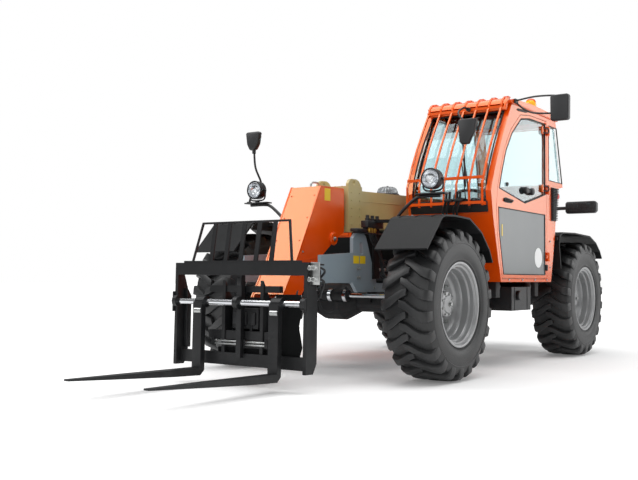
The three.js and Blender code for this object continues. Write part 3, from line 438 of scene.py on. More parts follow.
def make_weave():
    """Crossed threads of a woven seat cover."""
    tree, given, out = shader_group(
        "Seat weave", [("Threads", NUMBER, 420.0)], [("Height", NUMBER), ("Shade", NUMBER)]
    )
    where = place_of(tree)
    split = add_node(
        tree, "ShaderNodeSeparateXYZ",
        [
            (
                0,
                add_node(
                    tree, "ShaderNodeVectorMath",
                    [(0, where), ("Scale", given["Threads"])],
                    operation="SCALE",
                ).outputs[0],
            )
        ],
    ).outputs
    across = math_of(tree, "SINE", math_of(tree, "ADD", split["X"], split["Z"]), 0.0)
    along = math_of(tree, "SINE", math_of(tree, "SUBTRACT", split["Y"], split["Z"]), 0.0)
    crossed = math_of(tree, "MULTIPLY", across, along)
    tree.links.new(crossed, out["Height"])
    tree.links.new(between(tree, crossed, -1.0, 1.0, 0.0, 1.0), out["Shade"])
    return tree


tone_drift = make_tone_drift()
settled_dust = make_settled_dust()
fine_grain = make_fine_grain()
scuffs = make_scuffs()
seat_weave = make_weave()


def from_group(tree, group, **values):
    made = tree.nodes.new("ShaderNodeGroup")
    made.node_tree = group
    for label, source in values.items():
        key = label.replace("_", " ")
        if isinstance(source, bpy.types.NodeSocket):
            tree.links.new(source, made.inputs[key])
        else:
            made.inputs[key].default_value = source
    return made.outputs


def shade(red, green, blue):
    """An 0-255 colour as the linear one that a shader takes."""
    turned_linear = [
        (c / 255 / 12.92) if c <= 10 else ((c / 255 + 0.055) / 1.055) ** 2.4
        for c in (red, green, blue)
    ]
    return (*turned_linear, 1.0)


def bare_material(name, **constants):
    material = bpy.data.materials.new(name)
    material.use_nodes = True
    shader = material.node_tree.nodes["Principled BSDF"]
    for key, value in constants.items():
        shader.inputs[key.replace("_", " ")].default_value = value
    return material, material.node_tree, shader


def finish(
    name,
    colour,
    second,
    roughness,
    grain=400.0,
    bump=0.02,
    drift=2.5,
    dust=0.0,
    rub=0.0,
    rubbed=(0.5, 0.5, 0.5, 1),
    top=1.3,
    **constants,
):
    """A sprayed, moulded or cast finish: drifting tone, rubbed streaks, low dust and a fine skin."""
    material, tree, shader = bare_material(name, Roughness=roughness, **constants)
    tone = from_group(tree, tone_drift, Colour=colour, Second_colour=second, Scale=drift)["Colour"]
    marks = from_group(tree, scuffs, Amount=rub)["Mask"]
    tone = blend_colours(tree, marks, tone, rubbed)
    dusty = from_group(tree, settled_dust, Colour=tone, Amount=dust, Top=top)
    tree.links.new(dusty["Colour"], shader.inputs["Base Color"])
    dull = math_of(tree, "ADD", dusty["Mask"], marks)
    rough = between(tree, dull, 0.0, 1.0, roughness, min(1.0, roughness + 0.4))
    tree.links.new(rough, shader.inputs["Roughness"])
    skin = from_group(tree, fine_grain, Scale=grain, Depth=1.0)["Height"]
    links = [("Height", skin), ("Strength", bump), ("Distance", 0.002)]
    tree.links.new(add_node(tree, "ShaderNodeBump", links).outputs[0], shader.inputs["Normal"])
    return material


orange_paint = finish(
    "Orange paint", shade(234, 80, 4), shade(226, 74, 3), 0.24, 220, 0.03, rub=0.02,
    rubbed=shade(236, 116, 50), Coat_Weight=0.25, Coat_Roughness=0.1, Specular_IOR_Level=1.0,
    Specular_Tint=(1.0, 0.86, 0.40, 1),
)
cream_paint = finish(
    "Cream boom paint", shade(190, 177, 124), shade(182, 168, 114), 0.35, 220, 0.04, rub=0.12,
    rubbed=shade(156, 142, 100), Coat_Weight=0.3, Coat_Roughness=0.15,
)
slate_paint = finish(
    "Slate chassis paint", shade(140, 154, 162), shade(132, 146, 155), 0.36, 240, 0.05, dust=0.1,
    rub=0.08, rubbed=shade(140, 150, 154), Coat_Weight=0.3, Coat_Roughness=0.2,
)
black_paint = finish(
    "Black carriage paint", shade(25, 26, 28), shade(20, 21, 23), 0.42, 260, 0.06, dust=0.06,
    rub=0.12, rubbed=shade(80, 80, 82), Coat_Weight=0.1, Coat_Roughness=0.2, Specular_IOR_Level=0.3,
)
fork_steel = finish(
    "Black fork steel", shade(28, 29, 31), shade(23, 24, 26), 0.4, 200, 0.08, dust=0.06,
    rub=0.35, rubbed=shade(120, 120, 120), Metallic=0.2, Specular_IOR_Level=0.4,
)
fender_plastic = finish(
    "Black fender plastic", shade(30, 31, 32), shade(26, 27, 28), 0.42, 650, 0.18, rub=0.1,
    rubbed=shade(70, 70, 72), Specular_IOR_Level=0.14,
)
trim_plastic = finish("Black trim plastic", shade(34, 35, 37), shade(29, 30, 32), 0.42, 900, 0.12, rub=0.06)
cast_iron = finish(
    "Black cast iron", shade(32, 33, 35), shade(25, 26, 28), 0.55, 160, 0.5, dust=0.08, rub=0.12,
    Specular_IOR_Level=0.3,
)
tyre_rubber = finish(
    "Tyre rubber", shade(36, 37, 38), shade(29, 30, 31), 0.44, 300, 0.25, drift=6, dust=0.08, rub=0.3,
    rubbed=shade(86, 86, 88), top=0.9,
)
rim_paint = finish(
    "Silver rim paint", shade(164, 165, 166), shade(156, 157, 158), 0.34, 260, 0.05, dust=0.05,
    Metallic=0.45, Coat_Weight=0.3, Coat_Roughness=0.2,
)
engine_paint = finish("Engine grey", shade(104, 107, 110), shade(92, 95, 98), 0.5, 160, 0.4, dust=0.2)
panel_grey = finish(
    "Grey door panel", shade(108, 113, 114), shade(101, 106, 108), 0.38, 300, 0.03, drift=1.2,
    Coat_Weight=0.25, Coat_Roughness=0.2,
)
chrome = finish(
    "Hard chrome", shade(214, 216, 219), shade(204, 206, 210), 0.12, 120, 0.02, drift=9, rub=0.2,
    rubbed=shade(176, 178, 182), Metallic=1.0,
)
zinc = finish(
    "Zinc plating", shade(188, 190, 190), shade(170, 172, 170), 0.28, 500, 0.05, drift=30, Metallic=0.9
)
decal_yellow = finish("Yellow decal", shade(240, 205, 40), shade(234, 198, 34), 0.35, 900, 0.02)
decal_white = finish("White decal", shade(236, 238, 238), shade(230, 232, 232), 0.35, 900, 0.02)
seal_rubber = finish("Seal rubber", shade(24, 25, 26), shade(20, 21, 22), 0.6, 900, 0.1)
hose_rubber = finish("Hose rubber", shade(30, 31, 33), shade(24, 25, 27), 0.5, 1200, 0.2, dust=0.1)
# Inner black also paints shade: it colours the dark sheets over the engine pod and inside the carriage.
inner_black = finish(
    "Inner black", shade(22, 23, 24), shade(18, 19, 20), 0.85, 300, 0.1, Specular_IOR_Level=0.15
)
brass = finish("Brass fitting", shade(196, 152, 70), shade(184, 138, 58), 0.3, 400, 0.05, Metallic=0.9)


def make_glass(name, tint, roughness=0.02):
    material, tree, shader = bare_material(name, Roughness=roughness, Transmission_Weight=1.0, IOR=1.45)
    clean = from_group(
        tree, tone_drift, Colour=tint,
        Second_colour=tuple(0.97 * c for c in tint[:3]) + (1,),
        Scale=1.6,
    )
    tree.links.new(clean["Colour"], shader.inputs["Base Color"])
    return material


cab_glass = make_glass("Tinted cab glass", (0.64, 0.77, 0.79, 1))
lamp_glass = make_glass("Clear lamp glass", (0.97, 0.98, 0.98, 1))
smoked_glass = make_glass("Smoked bowl", (0.55, 0.56, 0.57, 1), 0.08)
amber_lens = make_glass("Amber beacon lens", (1.0, 0.50, 0.03, 1), 0.12)
red_lens = make_glass("Red lamp lens", (0.75, 0.03, 0.02, 1), 0.15)


def make_mirror_face():
    material, tree, shader = bare_material("Mirror face", Roughness=0.03, Metallic=1.0)
    tone = from_group(
        tree, tone_drift, Colour=shade(224, 228, 230), Second_colour=shade(216, 220, 224), Scale=4.0,
    )
    tree.links.new(tone["Colour"], shader.inputs["Base Color"])
    return material


def make_seat_cloth():
    material, tree, shader = bare_material("Woven seat cloth", Roughness=0.9, Sheen_Weight=0.35)
    weave = from_group(tree, seat_weave, Threads=1400.0)
    tone = blend_colours(tree, weave["Shade"], shade(30, 31, 34), shade(58, 60, 64))
    tree.links.new(tone, shader.inputs["Base Color"])
    links = [("Height", weave["Height"]), ("Strength", 0.35), ("Distance", 0.001)]
    tree.links.new(add_node(tree, "ShaderNodeBump", links).outputs[0], shader.inputs["Normal"])
    return material


mirror_face = make_mirror_face()
seat_cloth = make_seat_cloth()


def paint(obj, material):
    obj.data.materials.clear()
    obj.data.materials.append(material)
    return obj


def fit(obj, material, *replaced, body="chassis"):
    """Gives a finished piece its material, its body and the CAD nodes that it stands for."""
    paint(obj, material)
    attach(obj, body)
    if replaced:
        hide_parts(*replaced)
    return obj


def fit_group(name, pieces, material, *replaced, body="chassis"):
    """Joins pieces under one name and fits them."""
    return fit(joined(name, pieces), material, *replaced, body=body)


# ---------- Plain finishes on the frame's own pieces ----------
FINISHES = {
    orange_paint: (
        "cab_frame", "cab_roof", "windscreen_guard", "door_frame", "engine_pod", "engine_hood", "inner_boom",
    ),
    cream_paint: ("outer_boom",), slate_paint: ("chassis_frame",),
    black_paint: ("carriage_frame", "backrest", "lift_cylinder_barrel", "tilt_cylinder_barrel", "seat_base"),
    fork_steel: ("fork_left", "fork_right"),
    fender_plastic: ("front_fender_left", "front_fender_right", "rear_fender_left", "rear_fender_right"),
    cast_iron: (
        "counterweight", "front_axle", "rear_axle", "knuckle_front_left", "knuckle_front_right",
        "knuckle_rear_left", "knuckle_rear_right",
    ),
    chrome: (
        "steering_rod_front", "steering_rod_rear", "lift_cylinder_rod", "tilt_cylinder_rod", "fork_shaft",
    ),
    trim_plastic: (
        "dashboard", "precleaner", "fuel_tank", "mirror_left", "mirror_right", "mirror_front",
        "rear_lamp_left", "rear_lamp_right", "headlamp_left", "headlamp_right", "steering_wheel",
    ),
    panel_grey: ("door_panel",),
    cab_glass: ("windscreen", "rear_window", "right_window", "door_glass"),
    engine_paint: ("engine_block",), amber_lens: ("beacon",),
    seat_cloth: ("seat_cushion", "seat_back"),
    rim_paint: ("rim_front_left", "rim_front_right", "rim_rear_left", "rim_rear_right"),
    tyre_rubber: ("tyre_front_left", "tyre_front_right", "tyre_rear_left", "tyre_rear_right"),
}
for material, names in FINISHES.items():
    for name in names:
        paint(nodes[name], material)


# ---------- Wheels ----------
# A wheel is modelled on the front left hub, outer side to +X, and copied to the others.
HUB = at(WHEEL_X, 0, WHEEL_R)
LUGS = 22
WHEEL_NUTS, COVER_BOLTS = 10, 8


def wheel_point(x, radius, angle):
    """A place on the wheel: along its axle, out from it, and round it."""
    return HUB + Vector((x, radius * math.sin(angle), radius * math.cos(angle)))


def make_carcass():
    half = WHEEL_HALF
    side = [
        (half - 0.026, 0.3115), (half - 0.025, 0.333), (half - 0.011, 0.345), (half - 0.012, 0.352),
        (half - 0.006, 0.362), (half - 0.0015, 0.40), (half - 0.001, 0.44), (half - 0.004, 0.468),
        (half - 0.001, 0.472), (half - 0.004, 0.480), (half - 0.012, 0.510), (half - 0.024, 0.532),
        (0.13, 0.547), (0.06, 0.552),
    ]
    ring = side + [(0, 0.5535)] + [(-x, r) for x, r in reversed(side)] + [side[0]]
    return turned("tyre", ring, HUB, TO_LEFT, 66, 40)


def lug_station(x, base, top, middle, width, lean):
    """Four corners across a lug at one place along the axle."""
    half = width / 2
    return [
        wheel_point(x, base, middle - half * 1.12 / base),
        wheel_point(x, top, middle - half / top + lean),
        wheel_point(x, top, middle + half / top + lean),
        wheel_point(x, base, middle + half * 1.12 / base),
    ]


def make_lug():
    """One tread bar, from past the middle of the tread out over the shoulder and down the sidewall."""
    pitch = 2 * math.pi / LUGS
    tread = WHEEL_R - 0.0012
    stations = [
        lug_station(-0.030, 0.545, tread, 0.62 * pitch, 0.050, 0),
        lug_station(0.020, 0.545, tread, 0.50 * pitch, 0.062, 0),
        lug_station(0.080, 0.543, tread - 0.001, 0.24 * pitch, 0.066, 0),
        lug_station(0.130, 0.538, tread - 0.004, 0.06 * pitch, 0.072, 0),
        lug_station(0.165, 0.528, tread - 0.010, 0.0, 0.076, 0),
        lug_station(0.190, 0.505, 0.560, 0.0, 0.074, 0),
        lug_station(0.1975, 0.482, 0.530, 0.0, 0.062, 0),
    ]
    obj = trace("lug", stations[0], closed=True)
    for last, following in zip(stations, stations[1:]):
        step = sum(following, Vector()) / 4 - sum(last, Vector()) / 4
        bpy.ops.mesh.extrude_region_move(TRANSFORM_OT_translate={"value": tuple(step)})
        bpy.ops.object.mode_set(mode="OBJECT")
        chosen = [v for v in obj.data.vertices if v.select]
        moved = [p + step for p in last]
        for v in chosen:
            near = min(range(4), key=lambda i: (moved[i] - v.co).length)
            v.co = following[near]
        bpy.ops.object.mode_set(mode="EDIT")
    face_out(obj)
    return rounded(obj, 0.005, 2, 30)


def make_tyre():
    right_lug = make_lug()
    pitch = 2 * math.pi / LUGS
    to_hub = Matrix.Translation(HUB)
    lugs = []
    for i in range(LUGS):
        turn = to_hub @ Matrix.Rotation(i * pitch, 4, "X") @ to_hub.inverted()
        lugs.append(copied(right_lug, turn))
        half_turn = Matrix.Rotation((i + 0.5) * pitch, 4, "X")
        flip = to_hub @ half_turn @ Matrix.Scale(-1, 4, (1, 0, 0)) @ to_hub.inverted()
        lugs.append(copied(right_lug, flip))
        take(lugs[-1])
        face_out(lugs[-1])
    bpy.data.objects.remove(right_lug)
    return settle(joined("tyre", [make_carcass(), *lugs]), 40)


def make_rim():
    half = WHEEL_HALF
    profile = [
        (-0.017, 0.0), (-0.017, 0.296), (-half + 0.03, 0.297), (-half + 0.0185, 0.318),
        (-half + 0.0185, 0.3275), (-half + 0.0257, 0.3275), (-half + 0.0262, 0.309), (half - 0.0262, 0.309),
        (half - 0.0257, 0.3275), (half - 0.0185, 0.3275), (half - 0.0178, 0.322), (half - 0.020, 0.3135),
        (half - 0.027, 0.3075), (half - 0.036, 0.3055), (half - 0.041, 0.301), (half - 0.042, 0.291),
        (half - 0.046, 0.288), (half - 0.076, 0.2865), (half - 0.080, 0.283), (half - 0.081, 0.275),
        (half - 0.086, 0.272), (half - 0.135, 0.270), (half - 0.141, 0.266), (half - 0.142, 0.258),
        (half - 0.150, 0.254), (0.030, 0.251), (0.014, 0.243), (0.004, 0.231), (0.001, 0.215),
        (0.001, 0.130), (0.008, 0.122), (0.008, 0.108), (0.030, 0.105), (0.064, 0.099), (0.070, 0.093),
        (0.072, 0.070), (0.079, 0.064), (0.080, 0.0),
    ]
    return turned("rim", profile, HUB, TO_LEFT, 72, 28)


def ring_place(radius, share):
    """Across and up for a place on a ring round the hub, by its share of a turn."""
    angle = 2 * math.pi * share
    return radius * math.sin(angle), WHEEL_R + radius * math.cos(angle)


def hub_bolts():
    """Wheel nuts on their studs, the hub cover's bolts and the drain plug."""
    nuts = [(WHEEL_X + 0.001, *ring_place(0.168, i / WHEEL_NUTS)) for i in range(WHEEL_NUTS)]
    cover = [(WHEEL_X + 0.072, *ring_place(0.082, (i + 0.5) / COVER_BOLTS)) for i in range(COVER_BOLTS)]
    studs = [
        turned(f"stud {i}", stub(0.009, 0.034, 0.036, 0.007), at(*p), TO_LEFT, 10)
        for i, p in enumerate(nuts)
    ]
    plug = bolt_heads("plug", [(WHEEL_X + 0.080, 0.03, WHEEL_R)], TO_LEFT, 0.016)
    return joined(
        "hub bolts",
        [
            bolt_heads("nuts", nuts, TO_LEFT, 0.0155, 0.016),
            bolt_heads("cover bolts", cover, TO_LEFT, 0.008, 0.006),
            plug,
            *studs,
        ],
    )


def make_wheels():
    tyre, rim, nuts = make_tyre(), make_rim(), hub_bolts()
    for end, far in (("front", 0), ("rear", REAR_AXLE)):
        for side in ("left", "right"):
            body = f"wheel_{end}_{side}"
            if side == "left":
                place = Matrix.Translation((0, far, 0))
            else:
                hub = Matrix.Translation(HUB)
                other = Matrix.Translation(at(-WHEEL_X, far, WHEEL_R))
                place = other @ Matrix.Rotation(math.pi, 4, "Z") @ hub.inverted()
            for source, label, material in (
                (tyre, "tyre", tyre_rubber),
                (rim, "rim", rim_paint),
                (nuts, "hub_bolts", zinc),
            ):
                piece = copied(source, place)
                piece.name = f"{label}_{end}_{side}_detail"
                replaced = [] if label == "hub_bolts" else [f"{label}_{end}_{side}"]
                fit(piece, material, *replaced, body=body)
    for source in (tyre, rim, nuts):
        bpy.data.objects.remove(source)


make_wheels()


# ---------- Cab door and left side ----------
def closed_line(name, x, outline, radius):
    """A round rubber section laid along a closed outline of (y, z) points."""
    points = [(x, y, z) for y, z in outline]
    middle = tuple((a + b) / 2 for a, b in zip(points[0], points[-1]))
    return tube(name, [middle, *points, middle], radius, 1, 1)


DOOR_WINDOW = [
    (1.866, 1.590), (1.866, 2.262), (1.480, 2.252), (1.280, 2.222), (1.075, 2.066),
    (0.944, 1.899), (0.858, 1.717), (0.800, 1.560), (1.368, 1.474),
]
DOOR_PANEL = [(1.860, 0.830), (1.860, 1.396), (0.782, 1.396), (0.795, 1.200), (0.888, 0.830)]
CAB_SIDE = 1.100
HINGE_HEIGHTS = (1.645, 2.196)


def door_details():
    seals = [
        closed_line("window seal", CAB_SIDE - 0.003, DOOR_WINDOW, 0.0075),
        closed_line("panel seal", CAB_SIDE - 0.002, DOOR_PANEL, 0.006),
    ]
    fit_group("door_seals", seals, seal_rubber, body="cab_door")
    clamps = []
    for z in HINGE_HEIGHTS:
        loop = [(1.104, 1.80, z + 0.022), (1.118, 1.845, z + 0.022), (1.128, 1.872, z + 0.020)]
        loop += [(1.132, 1.880, z), (1.128, 1.872, z - 0.020), (1.118, 1.845, z - 0.022)]
        clamps.append(tube("clamp loop", [*loop, (1.104, 1.80, z - 0.022)], 0.0065, 4))
    fit_group("door_hinge_clamps", clamps, seal_rubber, body="cab_door")
    pads = []
    for z in HINGE_HEIGHTS:
        pads.append(bar("clamp pad", (1.089, 1.782, z - 0.036), (1.108, 1.826, z + 0.036), 0.006))
    pads.append(bar("top stop", (1.098, 1.862, 2.258), (1.112, 1.890, 2.276), 0.005))
    fit_group("door_hinge_pads", pads, orange_paint, body="cab_door")
    knobs = [
        turned(
            "latch knob",
            [(0, 0), (0, 0.030), (0.020, 0.034), (0.036, 0.028), (0.040, 0.016), (0.041, 0)],
            at(1.087, y, 1.588), TO_LEFT, 24,
        )
        for y in (1.375, 1.520)
    ]
    knobs.append(bar("latch bridge", (1.088, 1.375, 1.574), (1.108, 1.520, 1.602), 0.006))
    knobs.append(
        turned("pane button", [(0, 0), (0, 0.017), (0.010, 0.018), (0.016, 0.012), (0.017, 0)],
               at(1.087, 0.984, 1.609), TO_LEFT, 20)
    )
    fit_group("door_latch_knobs", knobs, trim_plastic, body="cab_door")
    recess = side_plate(
        "handle cup",
        [
            (0.885, 1.452), (0.935, 1.446), (1.060, 1.448), (1.082, 1.462), (1.060, 1.482), (0.935, 1.490),
            (0.885, 1.480),
        ],
        1.098, 1.104, 0.003,
    )
    pull = tube(
        "handle pull",
        [
            (1.104, 0.915, 1.467), (1.122, 0.935, 1.469), (1.124, 0.985, 1.469), (1.122, 1.035, 1.467),
            (1.104, 1.056, 1.465),
        ],
        0.009, 4,
    )
    catch = bar("low catch", (1.098, 1.868, 0.868), (1.116, 1.900, 0.926), 0.005)
    lock = turned("lock barrel", stub(0.013, 0.006, 0.008, 0.010), at(1.104, 0.903, 1.467), TO_LEFT, 20)
    fit_group("door_handle", [recess, pull, catch, lock], seal_rubber, body="cab_door")
    oval = trace(
        "door_round_plate",
        [
            at(
                1.0968,
                1.697 + 0.092 * math.cos(a / 16 * math.pi),
                0.987 + 0.092 * math.sin(a / 16 * math.pi),
            )
            for a in range(32)
        ],
        True,
    )
    bpy.ops.mesh.extrude_region_move(TRANSFORM_OT_translate={"value": (0.0012, 0, 0)})
    fit(settle(face_out(oval)), decal_white, body="cab_door")
    note = side_plate("door_note", oblong(0.856, 1.155, 0.876, 1.255), 1.0965, 1.0978, 0.0003, 1)
    fit(note, decal_yellow, body="cab_door")


def cab_side_details():
    back = side_plate(
        "grille_back", [(2.020, 1.350), (2.142, 1.350), (2.184, 1.672), (2.020, 1.672)], 1.100, 1.108, 0.002
    )
    ribs = [back]
    for i in range(20):
        z = 1.360 + i * 0.0158
        far = 2.142 + (z - 1.350) * 0.13
        ribs.append(bar(f"grille rib {i}", (1.104, 2.024, z), (1.124, far - 0.003, z + 0.0085), 0.002, 1))
    fit_group("air_grille", ribs, seal_rubber)
    slot = side_plate(
        "roof_slot",
        [(1.175, 2.292), (1.205, 2.283), (1.400, 2.296), (1.430, 2.306), (1.405, 2.318), (1.205, 2.306)],
        1.0995, 1.1045, 0.002,
    )
    fit(slot, seal_rubber)
    lamp = turned(
        "corner_lamp",
        [(0, 0), (0, 0.030), (0.012, 0.030), (0.020, 0.022), (0.022, 0)],
        at(1.092, 2.205, 1.600), TO_LEFT, 24,
    )
    stalk = bar("corner_lamp_stalk", (1.070, 2.186, 1.588), (1.094, 2.214, 1.612), 0.003)
    fit(lamp, red_lens)
    fit(stalk, seal_rubber)
    lines = [
        closed_line(
            "quarter seal", 1.098,
            [(1.965, 1.735), (2.328, 1.735), (2.172, 2.262), (1.965, 2.262)],
            0.006,
        ),
    ]
    right = [
        (2.090, 1.720), (2.000, 2.265), (1.130, 2.265), (0.900, 1.960), (0.760, 1.640), (0.740, 1.500),
        (2.090, 1.500),
    ]
    lines.append(closed_line("right seal", 0.303, right, 0.0075))
    fit_group("cab_window_seals", lines, seal_rubber)
    heads = [(1.1005, y, 0.782) for y in (1.0, 1.3, 1.6, 1.9)] + [(1.1005, 1.99, z) for z in (0.90, 1.15)]
    fit(bolt_heads("cab_bolts", heads, TO_LEFT, 0.0075), zinc)


door_details()
cab_side_details()


# ---------- Windscreen guard, roof and wipers ----------
FRONT_EDGE = [
    (0.833, 0.763), (0.670, 1.321), (0.632, 1.526), (0.662, 1.640), (0.706, 1.752), (0.764, 1.868),
    (0.829, 1.984), (0.903, 2.100), (0.986, 2.215), (1.074, 2.330),
]


def front_y(z):
    """How far behind the front axle the cab's front face lies at a height."""
    for (y0, z0), (y1, z1) in zip(FRONT_EDGE, FRONT_EDGE[1:]):
        if z <= z1:
            return y0 + (y1 - y0) * (z - z0) / (z1 - z0)
    return FRONT_EDGE[-1][0]


GUARD_BARS = [0.330 + 0.710 * i / 6 for i in range(7)]


def guard_details():
    curls = []
    for x in GUARD_BARS:
        way = [
            (x, 0.984, 2.290), (x, 0.996, 2.330), (x, 1.014, 2.358), (x, 1.040, 2.378), (x, 1.075, 2.388),
            (x, 1.118, 2.3925),
        ]
        curls.append(tube("guard curl", way, 0.0105, 4))
    hood = side_plate(
        "guard visor",
        [
            (0.990, 2.318), (1.004, 2.346), (1.026, 2.366), (1.058, 2.378), (1.080, 2.382), (1.080, 2.374),
            (1.060, 2.370), (1.031, 2.359), (1.011, 2.341), (0.997, 2.315),
        ],
        0.322, 1.078, 0.002, 1,
    )
    rail_low = bar("rail low", (0.318, 0.982, 2.262), (1.084, 0.996, 2.296), 0.005)
    ends = []
    for x in (0.328, 1.072):
        ends.append(
            side_plate(
                "visor end",
                [
                    (0.978, 2.262), (0.990, 2.318), (1.004, 2.348), (1.030, 2.372), (1.074, 2.387),
                    (1.074, 2.350), (1.030, 2.300), (1.004, 2.262),
                ],
                x - 0.010, x + 0.010, 0.004,
            )
        )
    feet = [
        bar("curl foot", (x - 0.016, 1.100, 2.3925), (x + 0.016, 1.150, 2.4045), 0.003)
        for x in GUARD_BARS
    ]
    fit_group("guard_top_rail", [*curls, hood, rail_low, *ends, *feet], orange_paint)
    bolts = [(x, 1.132, 2.4045) for x in GUARD_BARS]
    fit(bolt_heads("guard_bolts", bolts, TO_TOP, 0.006), zinc)


def cowl_and_wipers():
    face = [
        (front_y(1.350) - 0.010, 1.350), (front_y(1.442) - 0.010, 1.442), (front_y(1.442) - 0.0005, 1.442),
        (front_y(1.350) - 0.0005, 1.350),
    ]
    cowl = side_plate("cowl", face, 0.330, 1.062, 0.003)
    seal = []
    screen = [0.353, 1.047]
    for x in screen:
        seal.append(
            tube(
                "screen seal",
                [(x, front_y(z) + 0.004, z) for z in (1.447, 1.60, 1.75, 1.90, 2.05, 2.255)],
                0.007, 2, 1,
            )
        )
    for z in (1.449, 2.256):
        seal.append(
            bar(
                "screen seal",
                (0.353, front_y(z) - 0.002, z - 0.007),
                (1.047, front_y(z) + 0.012, z + 0.007),
                0.002,
            )
        )
    fit_group("screen_seal", [cowl, *seal], seal_rubber)
    wiper = [
        tube(
            "wiper arm",
            [
                (0.905, front_y(1.40) - 0.022, 1.400),
                (0.880, front_y(1.62) - 0.020, 1.620),
                (0.800, front_y(1.83) - 0.018, 1.830),
            ],
            0.007, 3,
        ),
        tube(
            "wiper link",
            [
                (0.872, front_y(1.40) - 0.022, 1.400),
                (0.850, front_y(1.62) - 0.020, 1.620),
                (0.790, front_y(1.80) - 0.018, 1.800),
            ],
            0.005, 3,
        ),
        tube(
            "wiper blade",
            [
                (0.860, front_y(1.57) - 0.004, 1.570),
                (0.815, front_y(1.78) - 0.002, 1.780),
                (0.720, front_y(2.06) - 0.002, 2.060),
            ],
            0.009, 5,
        ),
        turned(
            "wiper hub",
            [(0, 0), (0, 0.022), (0.020, 0.022), (0.032, 0.014), (0.034, 0)],
            at(0.890, front_y(1.40) - 0.001, 1.400),
            TO_FRONT, 20,
        ),
    ]
    fit_group("wiper", wiper, seal_rubber)
    hoses = []
    for x, low_x in ((0.735, 0.665), (0.765, 0.700), (0.835, 0.765), (0.862, 0.795)):
        way = [
            (x, front_y(1.52) - 0.090, 1.520),
            (x - 0.015, front_y(1.45) - 0.085, 1.450),
            (low_x + 0.01, front_y(1.36) - 0.070, 1.365),
        ]
        way += [(low_x - 0.01, front_y(1.28) - 0.030, 1.290), (low_x - 0.015, front_y(1.22) - 0.012, 1.215)]
        hoses.append(tube("bulkhead hose", way, 0.0105, 5))
    clips = [
        bar(
            "hose clip",
            (x - 0.03, front_y(1.45) - 0.100, 1.438),
            (x + 0.045, front_y(1.45) - 0.058, 1.462),
            0.004,
        )
        for x in (0.735, 0.828)
    ]
    fit_group("bulkhead_hoses", [*hoses, *clips], hose_rubber)


BEACON_PLACE = (1.010, 1.740, 2.389)


def roof_details():
    ribs = [
        bar("roof rib", (x - 0.012, 1.16, 2.3835), (x + 0.012, 2.12, 2.3925), 0.004)
        for x in (0.42, 0.61, 0.80)
    ]
    drip = [
        tube("drip rail", [(x, 1.060, 2.334), (x, 1.45, 2.336), (x, 2.175, 2.334)], 0.006, 2)
        for x in (0.292, 1.108)
    ]
    fit_group("roof_ribs", [*ribs, *drip], orange_paint)
    base = turned(
        "beacon_base",
        [(0, 0), (0, 0.062), (0.014, 0.062), (0.020, 0.054), (0.022, 0)],
        at(*BEACON_PLACE), TO_TOP, 36,
    )
    fit(base, trim_plastic, "beacon")
    dome = turned(
        "beacon_lens",
        [
            (0.022, 0), (0.022, 0.052), (0.050, 0.050), (0.080, 0.046), (0.096, 0.036), (0.104, 0.020),
            (0.1065, 0),
        ],
        at(*BEACON_PLACE), TO_TOP, 36,
    )
    fit(dome, amber_lens)


guard_details()
cowl_and_wipers()
roof_details()


# ---------- Headlamps ----------
LAMP_X, LAMP_Y, LAMP_Z = 0.890, -0.050, 1.570
FIN_RING = 0.079


